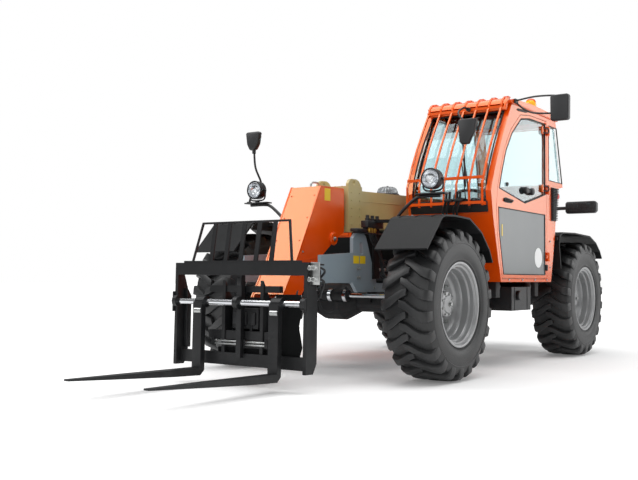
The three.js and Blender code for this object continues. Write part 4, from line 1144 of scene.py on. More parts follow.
def make_headlamp():
    """The left lamp: its finned shell, yoke and bent bar as one piece, its reflector and its lens."""
    centre = at(LAMP_X, LAMP_Y, LAMP_Z)
    back = (0, 1, 0)
    shell = turned(
        "lamp shell",
        [
            (0.000, 0.0735), (0.000, 0.080), (0.004, 0.084), (0.016, 0.084), (0.018, 0.0805), (0.076, 0.080),
            (0.086, 0.076), (0.098, 0.058), (0.0995, 0.050), (0.0995, 0.0), (0.094, 0.0), (0.094, 0.044),
            (0.075, 0.071), (0.012, 0.0735), (0.000, 0.0735),
        ],
        centre, back, 44,
    )
    fins = [shell]
    for i in range(7):
        angle = math.radians(-54 + 18 * i)
        x, z = LAMP_X + FIN_RING * math.sin(angle), LAMP_Z + FIN_RING * math.cos(angle)
        fin = bar("lamp fin", (x - 0.002, -0.020, z - 0.008), (x + 0.002, 0.030, z + 0.004), 0.001, 1)
        fins.append(fin)
    yoke = [
        tube(
            "yoke",
            [
                (0.802, 0.004, 1.572), (0.803, 0.004, 1.510), (0.826, 0.004, 1.482), (0.890, 0.004, 1.476),
                (0.954, 0.004, 1.482), (0.977, 0.004, 1.510), (0.978, 0.004, 1.572),
            ],
            0.007, 4,
        ),
        *[
            turned("yoke bolt", stub(0.012, 0.012, 0.014, 0.009), at(x, 0.004, 1.570), (side, 0, 0), 16)
            for x, side in ((0.796, 1), (0.984, -1))
        ],
        turned(
            "yoke foot",
            [(0, 0), (0, 0.020), (0.010, 0.020), (0.014, 0.012), (0.018, 0.012), (0.018, 0)],
            at(0.890, 0.004, 1.4605), TO_TOP, 20,
        ),
    ]
    mount = bar("lamp plate", (0.750, -0.040, 1.4483), (1.010, 0.040, 1.4600), 0.003)
    arm = tube(
        "lamp arm",
        [
            (0.570, 0.0, 1.2640), (0.590, 0.0, 1.300), (0.650, 0.0, 1.358), (0.735, 0.0, 1.420),
            (0.800, 0.0, 1.436), (0.960, 0.0, 1.437),
        ],
        0.0135, 6, 3,
    )
    foot = turned(
        "arm foot",
        [(0, 0), (0, 0.026), (0.006, 0.026), (0.010, 0.018), (0.020, 0.016), (0.020, 0)],
        at(0.570, 0.0, 1.2585), TO_TOP, 24,
    )
    housing = joined("headlamp_housing_left", [*fins, *yoke, mount, arm, foot])
    bowl = turned(
        "headlamp_reflector_left",
        [
            (0.010, 0.0725), (0.020, 0.070), (0.038, 0.060), (0.056, 0.044), (0.068, 0.024), (0.072, 0.012),
            (0.072, 0), (0.074, 0), (0.074, 0.013), (0.058, 0.046), (0.040, 0.0625), (0.0205, 0.0715),
            (0.010, 0.0725),
        ],
        centre, back, 44,
    )
    bulb = turned(
        "bulb",
        [(0.036, 0), (0.037, 0.009), (0.042, 0.013), (0.060, 0.013), (0.072, 0.014), (0.072, 0)],
        centre, back, 20,
    )
    lens = turned(
        "headlamp_lens_left",
        [
            (0.0005, 0), (0.0008, 0.040), (0.0025, 0.062), (0.006, 0.0735), (0.010, 0.0735), (0.0065, 0.062),
            (0.0045, 0.040), (0.004, 0),
        ],
        centre, back, 44,
    )
    return housing, joined("headlamp_reflector_left", [bowl, bulb]), lens


def headlamps():
    housing, bowl, lens = make_headlamp()
    sides = [
        (piece, mirrored(piece, piece.name.replace("left", "right")))
        for piece in (housing, bowl, lens)
    ]
    for side, index in (("left", 0), ("right", 1)):
        fit(sides[0][index], trim_plastic, f"headlamp_{side}")
        fit(sides[1][index], chrome)
        fit(sides[2][index], lamp_glass)


# ---------- Mirrors ----------
def mirror_head(name, outline, y0, y1, face_name):
    """A rounded shell with a silvered face let into its rear."""
    shell = front_plate(name, outline, y0, y1 - 0.004, 0.016, 4)
    middle_x = sum(x for x, _ in outline) / len(outline)
    middle_z = sum(z for _, z in outline) / len(outline)
    inner = [(middle_x + (x - middle_x) * 0.88, middle_z + (z - middle_z) * 0.90) for x, z in outline]
    face = front_plate(face_name, inner, y1 - 0.0045, y1 - 0.001, 0.001, 1)
    return shell, face


def mirrors():
    left = [
        (1.474, 2.130), (1.608, 2.130), (1.620, 2.144), (1.622, 2.336), (1.610, 2.350), (1.474, 2.350),
        (1.462, 2.336), (1.464, 2.144),
    ]
    shell, face = mirror_head("mirror_shell_left", left, 1.020, 1.080, "mirror_face_left")
    root = CAB_SIDE + 0.0125
    pieces = [
        shell,
        tube(
            "upper arm",
            [
                (root + 0.006, 1.120, 2.358), (1.300, 1.090, 2.368), (1.480, 1.060, 2.352),
                (1.540, 1.056, 2.330),
            ],
            0.008, 6,
        ),
        tube(
            "lower arm",
            [
                (root + 0.006, 1.120, 2.342), (1.200, 1.105, 2.270), (1.300, 1.090, 2.225),
                (1.470, 1.052, 2.200), (1.530, 1.056, 2.200),
            ],
            0.008, 6,
        ),
        bar("mirror foot", (root, 1.088, 2.330), (root + 0.016, 1.152, 2.372), 0.004),
    ]
    fit_group("mirror_shell_left", pieces, trim_plastic, "mirror_left")
    fit(face, mirror_face)
    right = [
        (-1.046, 1.955), (-0.984, 1.955), (-0.948, 2.010), (-0.930, 2.110), (-0.936, 2.125), (-1.084, 2.125),
        (-1.090, 2.110), (-1.076, 2.010),
    ]
    shell, face = mirror_head("mirror_shell_right", right, 0.060, 0.118, "mirror_face_right")
    pieces = [
        shell,
        tube(
            "mirror mast",
            [
                (-0.994, 0.015, 1.464), (-0.996, 0.050, 1.530), (-1.000, 0.190, 1.640),
                (-1.006, 0.110, 1.800), (-1.010, 0.092, 1.975),
            ],
            0.0095, 8,
        ),
        bar("mast foot", (-1.009, -0.005, 1.4603), (-0.979, 0.035, 1.472), 0.003),
        turned("mast collar", stub(0.017, 0.030, 0.034, 0.012), at(-1.010, 0.092, 1.925), TO_TOP, 20),
    ]
    fit_group("mirror_shell_right", pieces, trim_plastic, "mirror_right")
    fit(face, mirror_face)
    front = [
        (0.822, 1.935), (0.884, 1.935), (0.945, 2.060), (0.960, 2.136), (0.948, 2.150), (0.802, 2.150),
        (0.790, 2.136), (0.802, 1.955),
    ]
    shell, face = mirror_head("mirror_shell_front", front, 0.640, 0.690, "mirror_face_front")
    stay = front_y(2.290) - 0.080
    pieces = [
        shell,
        tube(
            "mirror stay",
            [
                (0.744, stay, 2.290), (0.744, stay - 0.110, 2.290), (0.765, 0.700, 2.215),
                (0.850, 0.668, 2.120),
            ],
            0.009, 7,
        ),
        turned("stay collar", stub(0.018, 0.030, 0.034, 0.012), at(0.744, stay - 0.034, 2.290), TO_BACK, 20),
    ]
    fit_group("mirror_shell_front", pieces, trim_plastic, "mirror_front")
    fit(face, mirror_face)


# ---------- Rear lamps ----------
def rear_lamps():
    outline = [
        (0.800, 1.528), (0.816, 1.510), (1.118, 1.510), (1.140, 1.532), (1.140, 1.618), (1.118, 1.640),
        (0.816, 1.640), (0.800, 1.622),
    ]
    shell = [front_plate("cluster", outline, 3.274, 3.338, 0.006)]
    for i in range(13):
        x = 0.822 + i * 0.0245
        shell.append(bar("cluster rib", (x - 0.0035, 3.2705, 1.522), (x + 0.0035, 3.280, 1.628), 0.0015, 1))
    for z in (1.541, 1.575, 1.609):
        shell.append(bar("cluster band", (0.812, 3.2715, z - 0.003), (1.128, 3.280, z + 0.003), 0.0015, 1))
    shell += [
        bar("lamp arm", (0.390, 3.290, 1.555), (0.812, 3.330, 1.590), 0.004),
        bar("lamp post", (0.3853, 3.290, 1.390), (0.4193, 3.330, 1.590), 0.004),
        bar("lamp foot", (0.3853, 3.250, 1.330), (0.3993, 3.330, 1.425), 0.003),
    ]
    lens = [
        bar("brake lens", (0.812, 3.334, 1.522), (0.930, 3.3495, 1.628), 0.006),
        bar("tail lens", (1.036, 3.334, 1.522), (1.128, 3.3495, 1.628), 0.006),
    ]
    signal = bar("signal_lens_left", (0.936, 3.334, 1.522), (1.030, 3.3495, 1.628), 0.006)
    shell = joined("rear_lamp_shell_left", shell)
    lens = joined("red_lens_left", lens)
    for piece, material in ((shell, trim_plastic), (lens, red_lens), (signal, amber_lens)):
        other = mirrored(piece, piece.name.replace("left", "right"))
        for lamp, side in ((piece, "left"), (other, "right")):
            fit(lamp, material, *([f"rear_lamp_{side}"] if piece is shell else []))


headlamps()
mirrors()
rear_lamps()


# ---------- Leaning frames ----------
BOOM_PIVOT = (3.150, 1.400)
BOOM_DROOP = math.radians(1.7)
CARRIAGE_PIVOT = (-1.050, 0.360)
CARRIAGE_LEAN = math.radians(-0.9)


def tilted(obj, pivot, angle):
    """Turns a piece drawn square about a pin that lies across the machine."""
    centre = Matrix.Translation(at(0, *pivot))
    obj.data.transform(centre @ Matrix.Rotation(angle, 4, "X") @ centre.inverted())
    return obj


def on_boom(along, up):
    """A place ahead of the boom's pin and above it, drawn before the boom is drooped."""
    return BOOM_PIVOT[0] - along, BOOM_PIVOT[1] + up


# ---------- Boom ----------
def boom_details():
    heads = []
    for along in (3.205, 3.080):
        for up in (-0.070, -0.005, 0.060, 0.125, 0.190):
            heads.append((0.1652, *on_boom(along, up)))
    left = bolt_heads("boom_pad_bolts", heads, TO_LEFT, 0.0075, 0.005)
    right = mirrored(left, "boom pad bolts right")
    top = bolt_heads(
        "pad bolts top",
        [(x, *on_boom(a, 0.2432)) for a in (3.2, 3.09) for x in (-0.07, 0, 0.07)],
        TO_TOP, 0.0075, 0.005,
    )
    bolts = tilted(joined("boom_pad_bolts", [left, right, top]), BOOM_PIVOT, BOOM_DROOP)
    fit(bolts, cream_paint, body="boom")
    beads = []
    for side in (-1, 1):
        for up, reach in ((0.125, 3.035), (-0.098, 3.035)):
            y0, z0 = on_boom(reach, up)
            y1, z1 = on_boom(0.30, up)
            beads.append(
                tube(
                    "weld bead",
                    [(side * 0.1352, y0, z0), (side * 0.1352, (y0 + y1) / 2, z0), (side * 0.1352, y1, z1)],
                    0.0035, 2, 1,
                )
            )
    stops = [
        bar("boom stop", (-0.030, BOOM_PIVOT[0] - 2.2, 1.613), (0.030, BOOM_PIVOT[0] - 2.1, 1.625), 0.004)
    ]
    welds = tilted(joined("boom_welds", [*beads, *stops]), BOOM_PIVOT, BOOM_DROOP)
    fit(welds, cream_paint, body="boom")
    caps = []
    for side in (-1, 1):
        caps.append(
            turned(
                "pivot cap", stub(0.075, 0.010, 0.014, 0.068), at(side * 0.3855, *BOOM_PIVOT), (side, 0, 0),
                36,
            )
        )
        ring = [
            (
                side * 0.3995,
                BOOM_PIVOT[0] + 0.05 * math.sin(i * math.pi / 2),
                BOOM_PIVOT[1] + 0.05 * math.cos(i * math.pi / 2),
            )
            for i in range(4)
        ]
        caps.append(bolt_heads("cap bolts", ring, (side, 0, 0), 0.008))
    fit_group("boom_pivot_caps", caps, zinc)


# ---------- Nose ----------
NOSE_FRONT = [(-0.147, 1.516), (-0.475, 1.511), (-0.795, 0.904), (-1.085, 0.440), (-1.135, 0.380)]


def nose_edge(x0, x1):
    """A raised lip along the nose's top and front edge."""
    lift = 0.004
    outer = [
        (-0.150, 1.516 + lift), (-0.477, 1.511 + lift), (-0.7986, 0.906), (-1.0886, 0.442),
        (-1.1380, 0.3815),
    ]
    inner = [(y + 0.006, z - 0.006) for y, z in NOSE_FRONT]
    return side_plate("nose lip", [*outer, *reversed(inner)], x0, x1, 0.0015, 1)


def nose_details():
    lips = [nose_edge(0.136, 0.150), nose_edge(-0.150, -0.136)]
    plates = [
        turned(
            "base pin boss", stub(0.052, 0.010, 0.016, 0.044), at(side * 0.1502, -0.302, 1.100),
            (side, 0, 0), 36,
        )
        for side in (-1, 1)
    ]
    seams = [
        side_plate(
            "nose side seam",
            [(-0.480, 0.946), (-0.792, 0.904), (-0.792, 0.910), (-0.480, 0.952)],
            x0, x1, 0.0005, 1,
        )
        for x0, x1 in ((0.1495, 0.1525), (-0.1525, -0.1495))
    ]
    heads = []
    for t in (0.12, 0.42, 0.72):
        y, z = -0.475 - 0.320 * t, 1.511 - 0.607 * t
        heads += [(x, y - 0.0006, z + 0.0003) for x in (-0.112, 0.112)]
    front = bolt_heads("nose front bolts", heads, (0, -0.885, 0.466), 0.0055, 0.004)
    fit_group("nose_lips", [*lips, *plates, *seams, front], orange_paint, body="boom_inner")
    handle = tube(
        "nose_handle",
        [
            (-0.02, -0.380, 1.512), (-0.02, -0.374, 1.545), (-0.02, -0.350, 1.560), (-0.02, -0.285, 1.562),
            (-0.02, -0.262, 1.547), (-0.02, -0.256, 1.514),
        ],
        0.008, 5,
    )
    side = bolt_heads("nose side bolts", [(0.1664, -0.302, 1.100)], TO_LEFT, 0.014, 0.010)
    other = mirrored(side, "nose side bolts right")
    nipples = bolt_heads(
        "nose nipples",
        [(0.1502, -0.711, 0.985), (0.1502, -0.9, 0.52), (0.1502, -1.0, 0.42)],
        TO_LEFT, 0.006, 0.006,
    )
    fit_group("nose_bolts", [handle, side, other, nipples], zinc, body="boom_inner")
    note = side_plate("nose_note", oblong(-0.425, 1.402, -0.345, 1.500), 0.1502, 0.1512, 0.0003, 1)
    fit(note, decal_yellow, body="boom_inner")


# ---------- Chassis front ----------
def chassis_details():
    block = [
        bar("line block", (0.352, -0.205, 1.190), (0.418, 0.040, 1.248), 0.006),
        bar("line bracket", (0.358, -0.330, 1.1405), (0.412, 0.030, 1.152), 0.003),
        bar("line bracket web", (0.362, -0.190, 1.150), (0.374, 0.020, 1.195), 0.002),
        bar("line box", (0.350, -0.360, 1.152), (0.420, -0.215, 1.178), 0.006),
    ]
    for y in (-0.160, -0.085, -0.010):
        block.append(
            turned(
                "line stub",
                [(0, 0), (0, 0.020), (0.022, 0.020), (0.024, 0.015), (0.046, 0.015), (0.046, 0)],
                at(0.386, y, 1.246), TO_TOP, 20,
            )
        )
    fit_group("line_block", block, trim_plastic)
    nuts = []
    for y in (-0.150, -0.110, -0.070):
        nuts.append(
            turned(
                "union",
                [
                    (0, 0), (0, 0.014), (0.014, 0.014), (0.016, 0.018), (0.032, 0.018), (0.034, 0.012),
                    (0.044, 0.012), (0.044, 0),
                ],
                at(0.399, y, 1.148), TO_TOP, 12,
            )
        )
    fit_group("line_unions", nuts, brass)
    hoses = []
    for i, y in enumerate((-0.150, -0.110, -0.070)):
        x = 0.330 - 0.036 * i
        hoses.append(
            tube(
                "boom line",
                [
                    (0.399, y, 1.152), (0.398, y + 0.03, 1.100), (0.392, 0.02 + 0.01 * i, 0.960),
                    (0.372, 0.10, 0.860), (x + 0.01, 0.22, 0.800), (x, 0.50, 0.775), (x, 1.20, 0.770),
                    (x, 2.10, 0.775),
                ],
                0.011, 5,
            )
        )
    for i in range(4):
        x = -0.150 + 0.045 * i
        hoses.append(
            tube(
                "axle line",
                [
                    (x, 0.36, 0.860), (x, 0.20, 0.905 - 0.02 * i), (x, 0.02, 0.880), (x * 1.3, -0.14, 0.800),
                    (x * 1.5, -0.18, 0.705),
                ],
                0.010, 5,
            )
        )
        hoses.append(
            tube(
                "valve line",
                [
                    (x, 0.66, 0.880), (x, 0.80, 0.900 + 0.015 * i), (x * 1.2, 1.10, 0.800),
                    (x * 1.3, 1.60, 0.700),
                ],
                0.011, 5,
            )
        )
    fit_group("chassis_hoses", hoses, hose_rubber)
    valves = [bar("valve bank", (-0.210, 0.360, 0.790), (0.060, 0.660, 0.930), 0.008)]
    for i in range(6):
        y = 0.385 + i * 0.046
        valves.append(bar("valve slice", (-0.235, y, 0.800), (0.085, y + 0.036, 0.918), 0.004))
    valves.append(bar("valve foot", (-0.352, 0.420, 0.760), (0.352, 0.600, 0.792), 0.004))
    fit_group("valve_bank", valves, cast_iron)
    spools = [
        turned(
            "spool cap", stub(0.013, 0.022, 0.026, 0.009), at(0.085, 0.403 + i * 0.046, 0.86), TO_LEFT, 14,
        )
        for i in range(6)
    ]
    fit_group("valve_caps", spools, zinc)
    # Painted shade: dark sheets over the orange engine pod's front face and inner wall, where these lie in
    # shade.
    front = front_plate("pod_front_shade_sheet", oblong(-1.070, 0.650, -0.398, 1.172), 0.7935, 0.7985, 0.001, 1)
    fit(front, inner_black)
    sheet = side_plate("pod_wall_shade_sheet", oblong(0.805, 0.645, 2.140, 1.572), -0.3945, -0.3885, 0.001, 1)
    fit(sheet, inner_black)
    notes = [
        side_plate("tower note", oblong(y, 0.900, y + 0.082, 0.962), 0.3852, 0.3862, 0.0003, 1)
        for y in (-0.362, -0.268)
    ]
    fit_group("tower_notes", notes, decal_yellow)
    heads = [
        (0.3855, y, z)
        for y, z in ((-0.30, 0.86), (-0.30, 0.79), (-0.27, 0.86), (-0.27, 0.79), (-0.05, 0.71), (0.09, 0.71))
    ]
    left = bolt_heads("chassis_bolts", heads, TO_LEFT, 0.009)
    fit_group("chassis_bolts", [left, mirrored(left, "chassis bolts right")], zinc)


# ---------- Axles ----------
def steering_cylinder(name, y):
    """The barrel sleeves of a steering cylinder with their line banjos, over the axle's own tube."""
    z = WHEEL_R + 0.055
    pieces = []
    for side in (-1, 1):
        pieces.append(
            turned(
                "barrel sleeve",
                [
                    (0.035, 0.0385), (0.035, 0.044), (0.060, 0.046), (0.085, 0.046), (0.088, 0.0415),
                    (0.190, 0.0415), (0.194, 0.047), (0.226, 0.047), (0.232, 0.040), (0.238, 0.030),
                    (0.238, 0.019), (0.2305, 0.019), (0.2305, 0.0385), (0.035, 0.0385),
                ],
                at(0, y, z), (side, 0, 0), 32,
            )
        )
        pieces.append(
            turned(
                "line banjo",
                [(0, 0), (0, 0.013), (0.018, 0.013), (0.022, 0.009), (0.030, 0.009), (0.030, 0)],
                at(side * 0.208, y, z + 0.040), TO_TOP, 12,
            )
        )
    return joined(name, pieces)


def axle_details():
    for name, y in (("steering_sleeve_front", -0.195), ("steering_sleeve_rear", REAR_AXLE + 0.195)):
        fit(steering_cylinder(name, y), cast_iron)
        rings = []
        for side in (-1, 1):
            for along in (0.055, 0.200):
                rings.append(
                    turned(
                        "gland ring",
                        [
                            (along, 0.0475), (along, 0.0515), (along + 0.030, 0.0515),
                            (along + 0.030, 0.0475), (along, 0.0475),
                        ],
                        at(0, y, WHEEL_R + 0.055), (side, 0, 0), 36,
                    )
                )
        fit_group(name.replace("sleeve", "rings"), rings, chrome)
    heads = []
    for y, facing in ((0.0, -1), (REAR_AXLE, 1)):
        for i in range(10):
            angle = i * math.pi / 5
            heads.append((0.060 * math.sin(angle), y + facing * 0.1520, WHEEL_R + 0.060 * math.cos(angle)))
    covers = []
    for y, facing in ((0.0, -1), (REAR_AXLE, 1)):
        covers.append(
            turned(
                "diff cover",
                [(0.10, 0.095), (0.140, 0.088), (0.150, 0.074), (0.152, 0.0), (0.10, 0.0)],
                at(0, y, WHEEL_R), (0, facing, 0), 32,
            )
        )
        for side in (-1, 1):
            for low, high in ((WHEEL_R + 0.190, 1), (WHEEL_R - 0.190, -1)):
                covers.append(
                    turned(
                        "kingpin cap",
                        [(-0.002, 0), (-0.002, 0.044), (0.010, 0.044), (0.016, 0.036), (0.016, 0)],
                        at(side * 0.800, y, low), (0, 0, high), 28,
                    )
                )
    fit_group("axle_covers", covers, cast_iron)
    bolts = []
    for y in (0.0, REAR_AXLE):
        for side in (-1, 1):
            for low, high in ((WHEEL_R + 0.206, 1), (WHEEL_R - 0.206, -1)):
                ring = [
                    (
                        side * 0.800 + 0.026 * math.sin(i * math.pi / 2),
                        y + 0.026 * math.cos(i * math.pi / 2),
                        low,
                    )
                    for i in range(4)
                ]
                bolts.append(bolt_heads("kingpin bolts", ring, (0, 0, high), 0.006))
    fit_group("kingpin_bolts", bolts, zinc)


boom_details()
nose_details()
chassis_details()
axle_details()


# ---------- Carriage and forks ----------
CARRIAGE_FRONT = -1.300
SHAFT = (CARRIAGE_FRONT + 0.008, 0.600)


def leaned(obj):
    return tilted(obj, CARRIAGE_PIVOT, CARRIAGE_LEAN)


def carriage_details():
    hook = [
        turned(
            "post hook",
            [
                (-0.0215, 0.0228), (-0.0215, 0.044), (-0.018, 0.048), (0.018, 0.048), (0.0215, 0.044),
                (0.0215, 0.0228), (-0.0215, 0.0228),
            ],
            at(0, *SHAFT), TO_LEFT, 36,
        ),
        side_plate(
            "post cap",
            [(-1.285, 0.722), (-1.240, 0.722), (-1.240, 0.770), (-1.262, 0.792), (-1.285, 0.780)],
            -0.021, 0.021, 0.004,
        ),
    ]
    for side in (-1, 1):
        hook.append(
            side_plate(
                "cheek rib",
                [(-1.225, 0.250), (-1.180, 0.250), (-1.180, 0.640), (-1.225, 0.700)],
                side * 0.560, side * 0.593, 0.004,
            )
        )
    hook.append(bar("shaft lug", (-0.6345, -1.315, 0.520), (-0.6195, -1.250, 0.672), 0.005))
    fit(leaned(joined("carriage_bosses", hook)), black_paint, body="carriage")
    sheets = [
        # Painted shade: dark sheets behind the fork shaft and at the carriage's side, blocking the view
        # through to the nose, which lies in shade.
        bar("back sheet", (-0.262, -1.160, 0.330), (0.262, -1.154, 0.640), 0.002),
        front_plate(
            "side sheet",
            [
                (0.285, 0.190), (0.490, 0.190), (0.525, 0.300), (0.492, 0.440), (0.525, 0.600),
                (0.505, 0.665), (0.285, 0.665),
            ],
            -1.215, -1.209, 0.002,
        ),
        front_plate("low sheet", oblong(-0.262, 0.180, 0.285, 0.270), -1.200, -1.194, 0.002),
    ]
    fit(leaned(joined("carriage_shade_sheets", sheets)), inner_black, body="carriage")
    rods = []
    for x0, x1 in ((-0.262, -0.030), (0.030, 0.215)):
        for z in (0.296, 0.318):
            rods.append(
                tube("lock rod", [(x0, -1.236, z), ((x0 + x1) / 2, -1.236, z), (x1, -1.236, z)], 0.0075, 2)
            )
    couplers = []
    for x in (0.640, 0.676):
        for z in (0.772, 0.850):
            couplers.append(
                turned(
                    "coupler",
                    [
                        (0, 0), (0, 0.0165), (0.010, 0.0165), (0.012, 0.0135), (0.022, 0.0135),
                        (0.024, 0.0165), (0.038, 0.0165), (0.040, 0.012), (0.034, 0.010), (0.034, 0),
                    ],
                    at(x, -1.268, z), TO_FRONT, 20,
                )
            )
    plate_ = bar("coupler plate", (0.6205, -1.270, 0.735), (0.700, -1.262, 0.890), 0.004)
    fit(leaned(joined("carriage_bright_parts", [*rods, *couplers, plate_])), zinc, body="carriage")
    lugs = []
    for x0, x1 in ((-0.290, -0.258), (-0.034, 0.034), (0.211, 0.243)):
        lugs.append(bar("lock lug", (x0, -1.246, 0.280), (x1, -1.226, 0.336), 0.004))
    lugs.append(bar("coupler stay", (0.6203, -1.262, 0.745), (0.694, -1.205, 0.757), 0.003))
    lugs.append(bar("coupler stay low", (0.6203, -1.262, 0.868), (0.694, -1.205, 0.880), 0.003))
    fit(leaned(joined("carriage_lugs", lugs)), black_paint, body="carriage")
    valve = [bar("carriage valve", (-0.115, -1.215, 0.410), (0.130, -1.170, 0.560), 0.008)]
    valve += [
        bar("valve ear", (x, -1.232, 0.440), (x + 0.050, -1.214, 0.530), 0.006)
        for x in (-0.100, -0.020, 0.060)
    ]
    fit(leaned(joined("carriage_valve", valve)), cast_iron, body="carriage")
    hoses = []
    for i, (x, z) in enumerate(((0.640, 0.772), (0.676, 0.772), (0.640, 0.850), (0.676, 0.850))):
        hoses.append(
            tube(
                "attachment hose",
                [
                    (x, -1.262, z), (x, -1.215, z), (x - 0.01, -1.165, z - 0.03),
                    (0.60 - 0.02 * i, -1.120, z - 0.12),
                    (0.46 - 0.03 * i, -1.090, 0.640 - 0.02 * i),
                    (0.300, -1.085, 0.560 - 0.02 * i), (0.200, -1.080, 0.480 + 0.015 * i),
                ],
                0.0085, 5,
            )
        )
    fit(leaned(joined("carriage_hoses", hoses)), hose_rubber, body="carriage")


def nose_hoses():
    hoses = []
    for i, x in enumerate((-0.060, -0.020, 0.090, 0.120)):
        hoses.append(
            tube(
                "nose hose",
                [
                    (x, -0.480, 0.990), (x, -0.620, 0.860 - 0.02 * i), (x * 1.1, -0.740, 0.720),
                    (x * 1.3, -0.800, 0.580 + 0.02 * i),
                    (x * 1.2, -0.890, 0.560),
                ],
                0.0095, 5,
            )
        )
    fit_group("nose_hoses", hoses, hose_rubber, body="boom_inner")


def fork_details():
    for side, x in (("left", 0.370), ("right", -0.343)):
        pieces = [
            turned(
                "fork pad",
                [(-0.034, 0), (-0.034, 0.019), (-0.030, 0.022), (0.030, 0.022), (0.034, 0.019), (0.034, 0)],
                at(x, -1.334, 0.536), TO_LEFT, 24,
            ),
        ]
        fit(leaned(joined(f"fork_pad_{side}", pieces)), zinc, body=f"fork_{side}")


def cylinder_details():
    """The gland and the ports of the two boom cylinders."""

    def along(base, eye, share, off=0.0):
        (y0, z0), (y1, z1) = base, eye
        span = math.hypot(y1 - y0, z1 - z0)
        uy, uz = (y1 - y0) / span, (z1 - z0) / span
        return y0 + uy * share * span - uz * off, z0 + uz * share * span + uy * off, (0, uy, uz)
    for name, base, eye, share, bore, rod_r, body in (
        ("lift", (2.750, 0.820), (1.750, 1.100), 0.86, 0.062, 0.036, "lift_barrel"),
        ("tilt", (-0.302, 1.100), (-1.030, 0.530), 0.68, 0.048, 0.028, "tilt_barrel"),
    ):
        y, z, way = along(base, eye, share)
        gland = turned(
            "gland",
            [
                (-0.050, bore + 0.0005), (-0.050, bore + 0.008), (-0.006, bore + 0.008), (0.004, bore),
                (0.004, rod_r + 0.002), (-0.002, rod_r + 0.002), (-0.002, bore + 0.0005),
            ],
            at(0, y, z), way, 36,
        )
        ports = []
        for where in (0.18 if name == "lift" else 0.22, share - 0.05):
            py, pz, _ = along(base, eye, where, bore * 0.9)
            ports.append(
                bar("port", (-0.016, py - 0.018, pz - 0.010), (0.016, py + 0.018, pz + 0.024), 0.004)
            )
        fit_group(f"{name}_cylinder_gland", [gland, *ports], black_paint, body=body)


carriage_details()
nose_hoses()
fork_details()
cylinder_details()


# ---------- Fenders ----------
def fender_details():
    heads, tabs = [], []
    for y in (-0.085, 0.0):
        heads += [(x, y - 0.01, 1.2745) for x in (0.715, 0.760)]
    for y in (REAR_AXLE + 0.03, REAR_AXLE + 0.09):
        heads += [(x, y, 1.2600) for x in (0.715, 0.760)]
    left = bolt_heads("fender_bolts", heads, TO_TOP, 0.008)
    fit_group("fender_bolts", [left, mirrored(left, "fender bolts right")], zinc)
    tabs.append(bar("fender tab", (1.040, 2.128, 1.168), (1.122, 2.158, 1.196), 0.006))
    tabs.append(bar("fender stay", (0.392, 2.170, 1.120), (0.700, 2.196, 1.146), 0.004))
    for x in (0.760, 0.900, 1.040):
        tabs.append(
            tube(
                "fender bead",
                [(x, 0.02, 1.2745), (x, -0.10, 1.2755), (x, -0.235, 1.268), (x, -0.30, 1.252)],
                0.003, 3, 1,
            )
        )
    tabs.append(
        side_plate(
            "fender flange",
            [
                (-0.315, 1.195), (-0.290, 1.232), (-0.246, 1.2605), (-0.100, 1.2675), (0.160, 1.2585),
                (0.290, 1.200), (0.285, 1.194),
            ],
            0.6875, 0.6935, 0.001, 1,
        )
    )
    left = joined("fender_trim_left", tabs)
    right = mirrored(left, "fender_trim_right")
    fit(left, fender_plastic)
    fit(right, fender_plastic)


# ---------- Engine side ----------
def hood_details():
    slats = []
    for y0 in (0.960, 1.420):
        for i in range(8):
            z = 1.225 + i * 0.024
            slats.append(
                side_plate("hood slat", oblong(y0, z, y0 + 0.340, z + 0.010), -1.0915, -1.0775, 0.003, 1)
            )
    rim = []
    for y0 in (0.945, 1.405):
        for y, z, dy, dz in (
            (y0, 1.213, 0.370, 0.008), (y0, 1.415, 0.370, 0.008), (y0, 1.213, 0.008, 0.210),
            (y0 + 0.362, 1.213, 0.008, 0.210),
        ):
            rim.append(bar("louvre rim", (-1.0860, y, z), (-1.0790, y + dy, z + dz), 0.002, 1))
    fit_group("hood_louvres", [*slats, *rim], seal_rubber, body="engine_hood")
    handle = tube(
        "hood_handle",
        [
            (-1.079, 1.300, 1.203), (-1.100, 1.310, 1.203), (-1.104, 1.350, 1.203), (-1.100, 1.390, 1.203),
            (-1.079, 1.400, 1.203),
        ],
        0.008, 5,
    )
    fit(handle, trim_plastic, body="engine_hood")
    fins = [front_plate("cooler frame", oblong(-1.060, 0.700, -0.415, 1.555), 2.1495, 2.156, 0.003)]
    for i in range(30):
        z = 0.725 + i * 0.0275
        fins.append(bar("cooler slat", (-1.045, 2.150, z), (-0.430, 2.166, z + 0.008), 0.002, 1))
    fit_group("cooler_grille", fins, seal_rubber)
    lines = [
        bar("pod panel", (-1.084, 0.860, 0.700), (-1.0795, 1.400, 1.140), 0.002),
        bar("pod panel", (-1.084, 1.440, 0.700), (-1.0795, 1.900, 1.140), 0.002),
    ]
    fit_group("pod_panels", lines, orange_paint)
    heads = [(-1.0842, y, z) for y in (0.885, 1.375, 1.465, 1.875) for z in (0.725, 1.115)]
    fit(bolt_heads("pod_bolts", heads, TO_RIGHT, 0.008), zinc)


INTAKE_X, INTAKE_Y, DECK_Z = -0.760, 2.076, 1.5803
VANES, VANE_RING = 24, 0.127


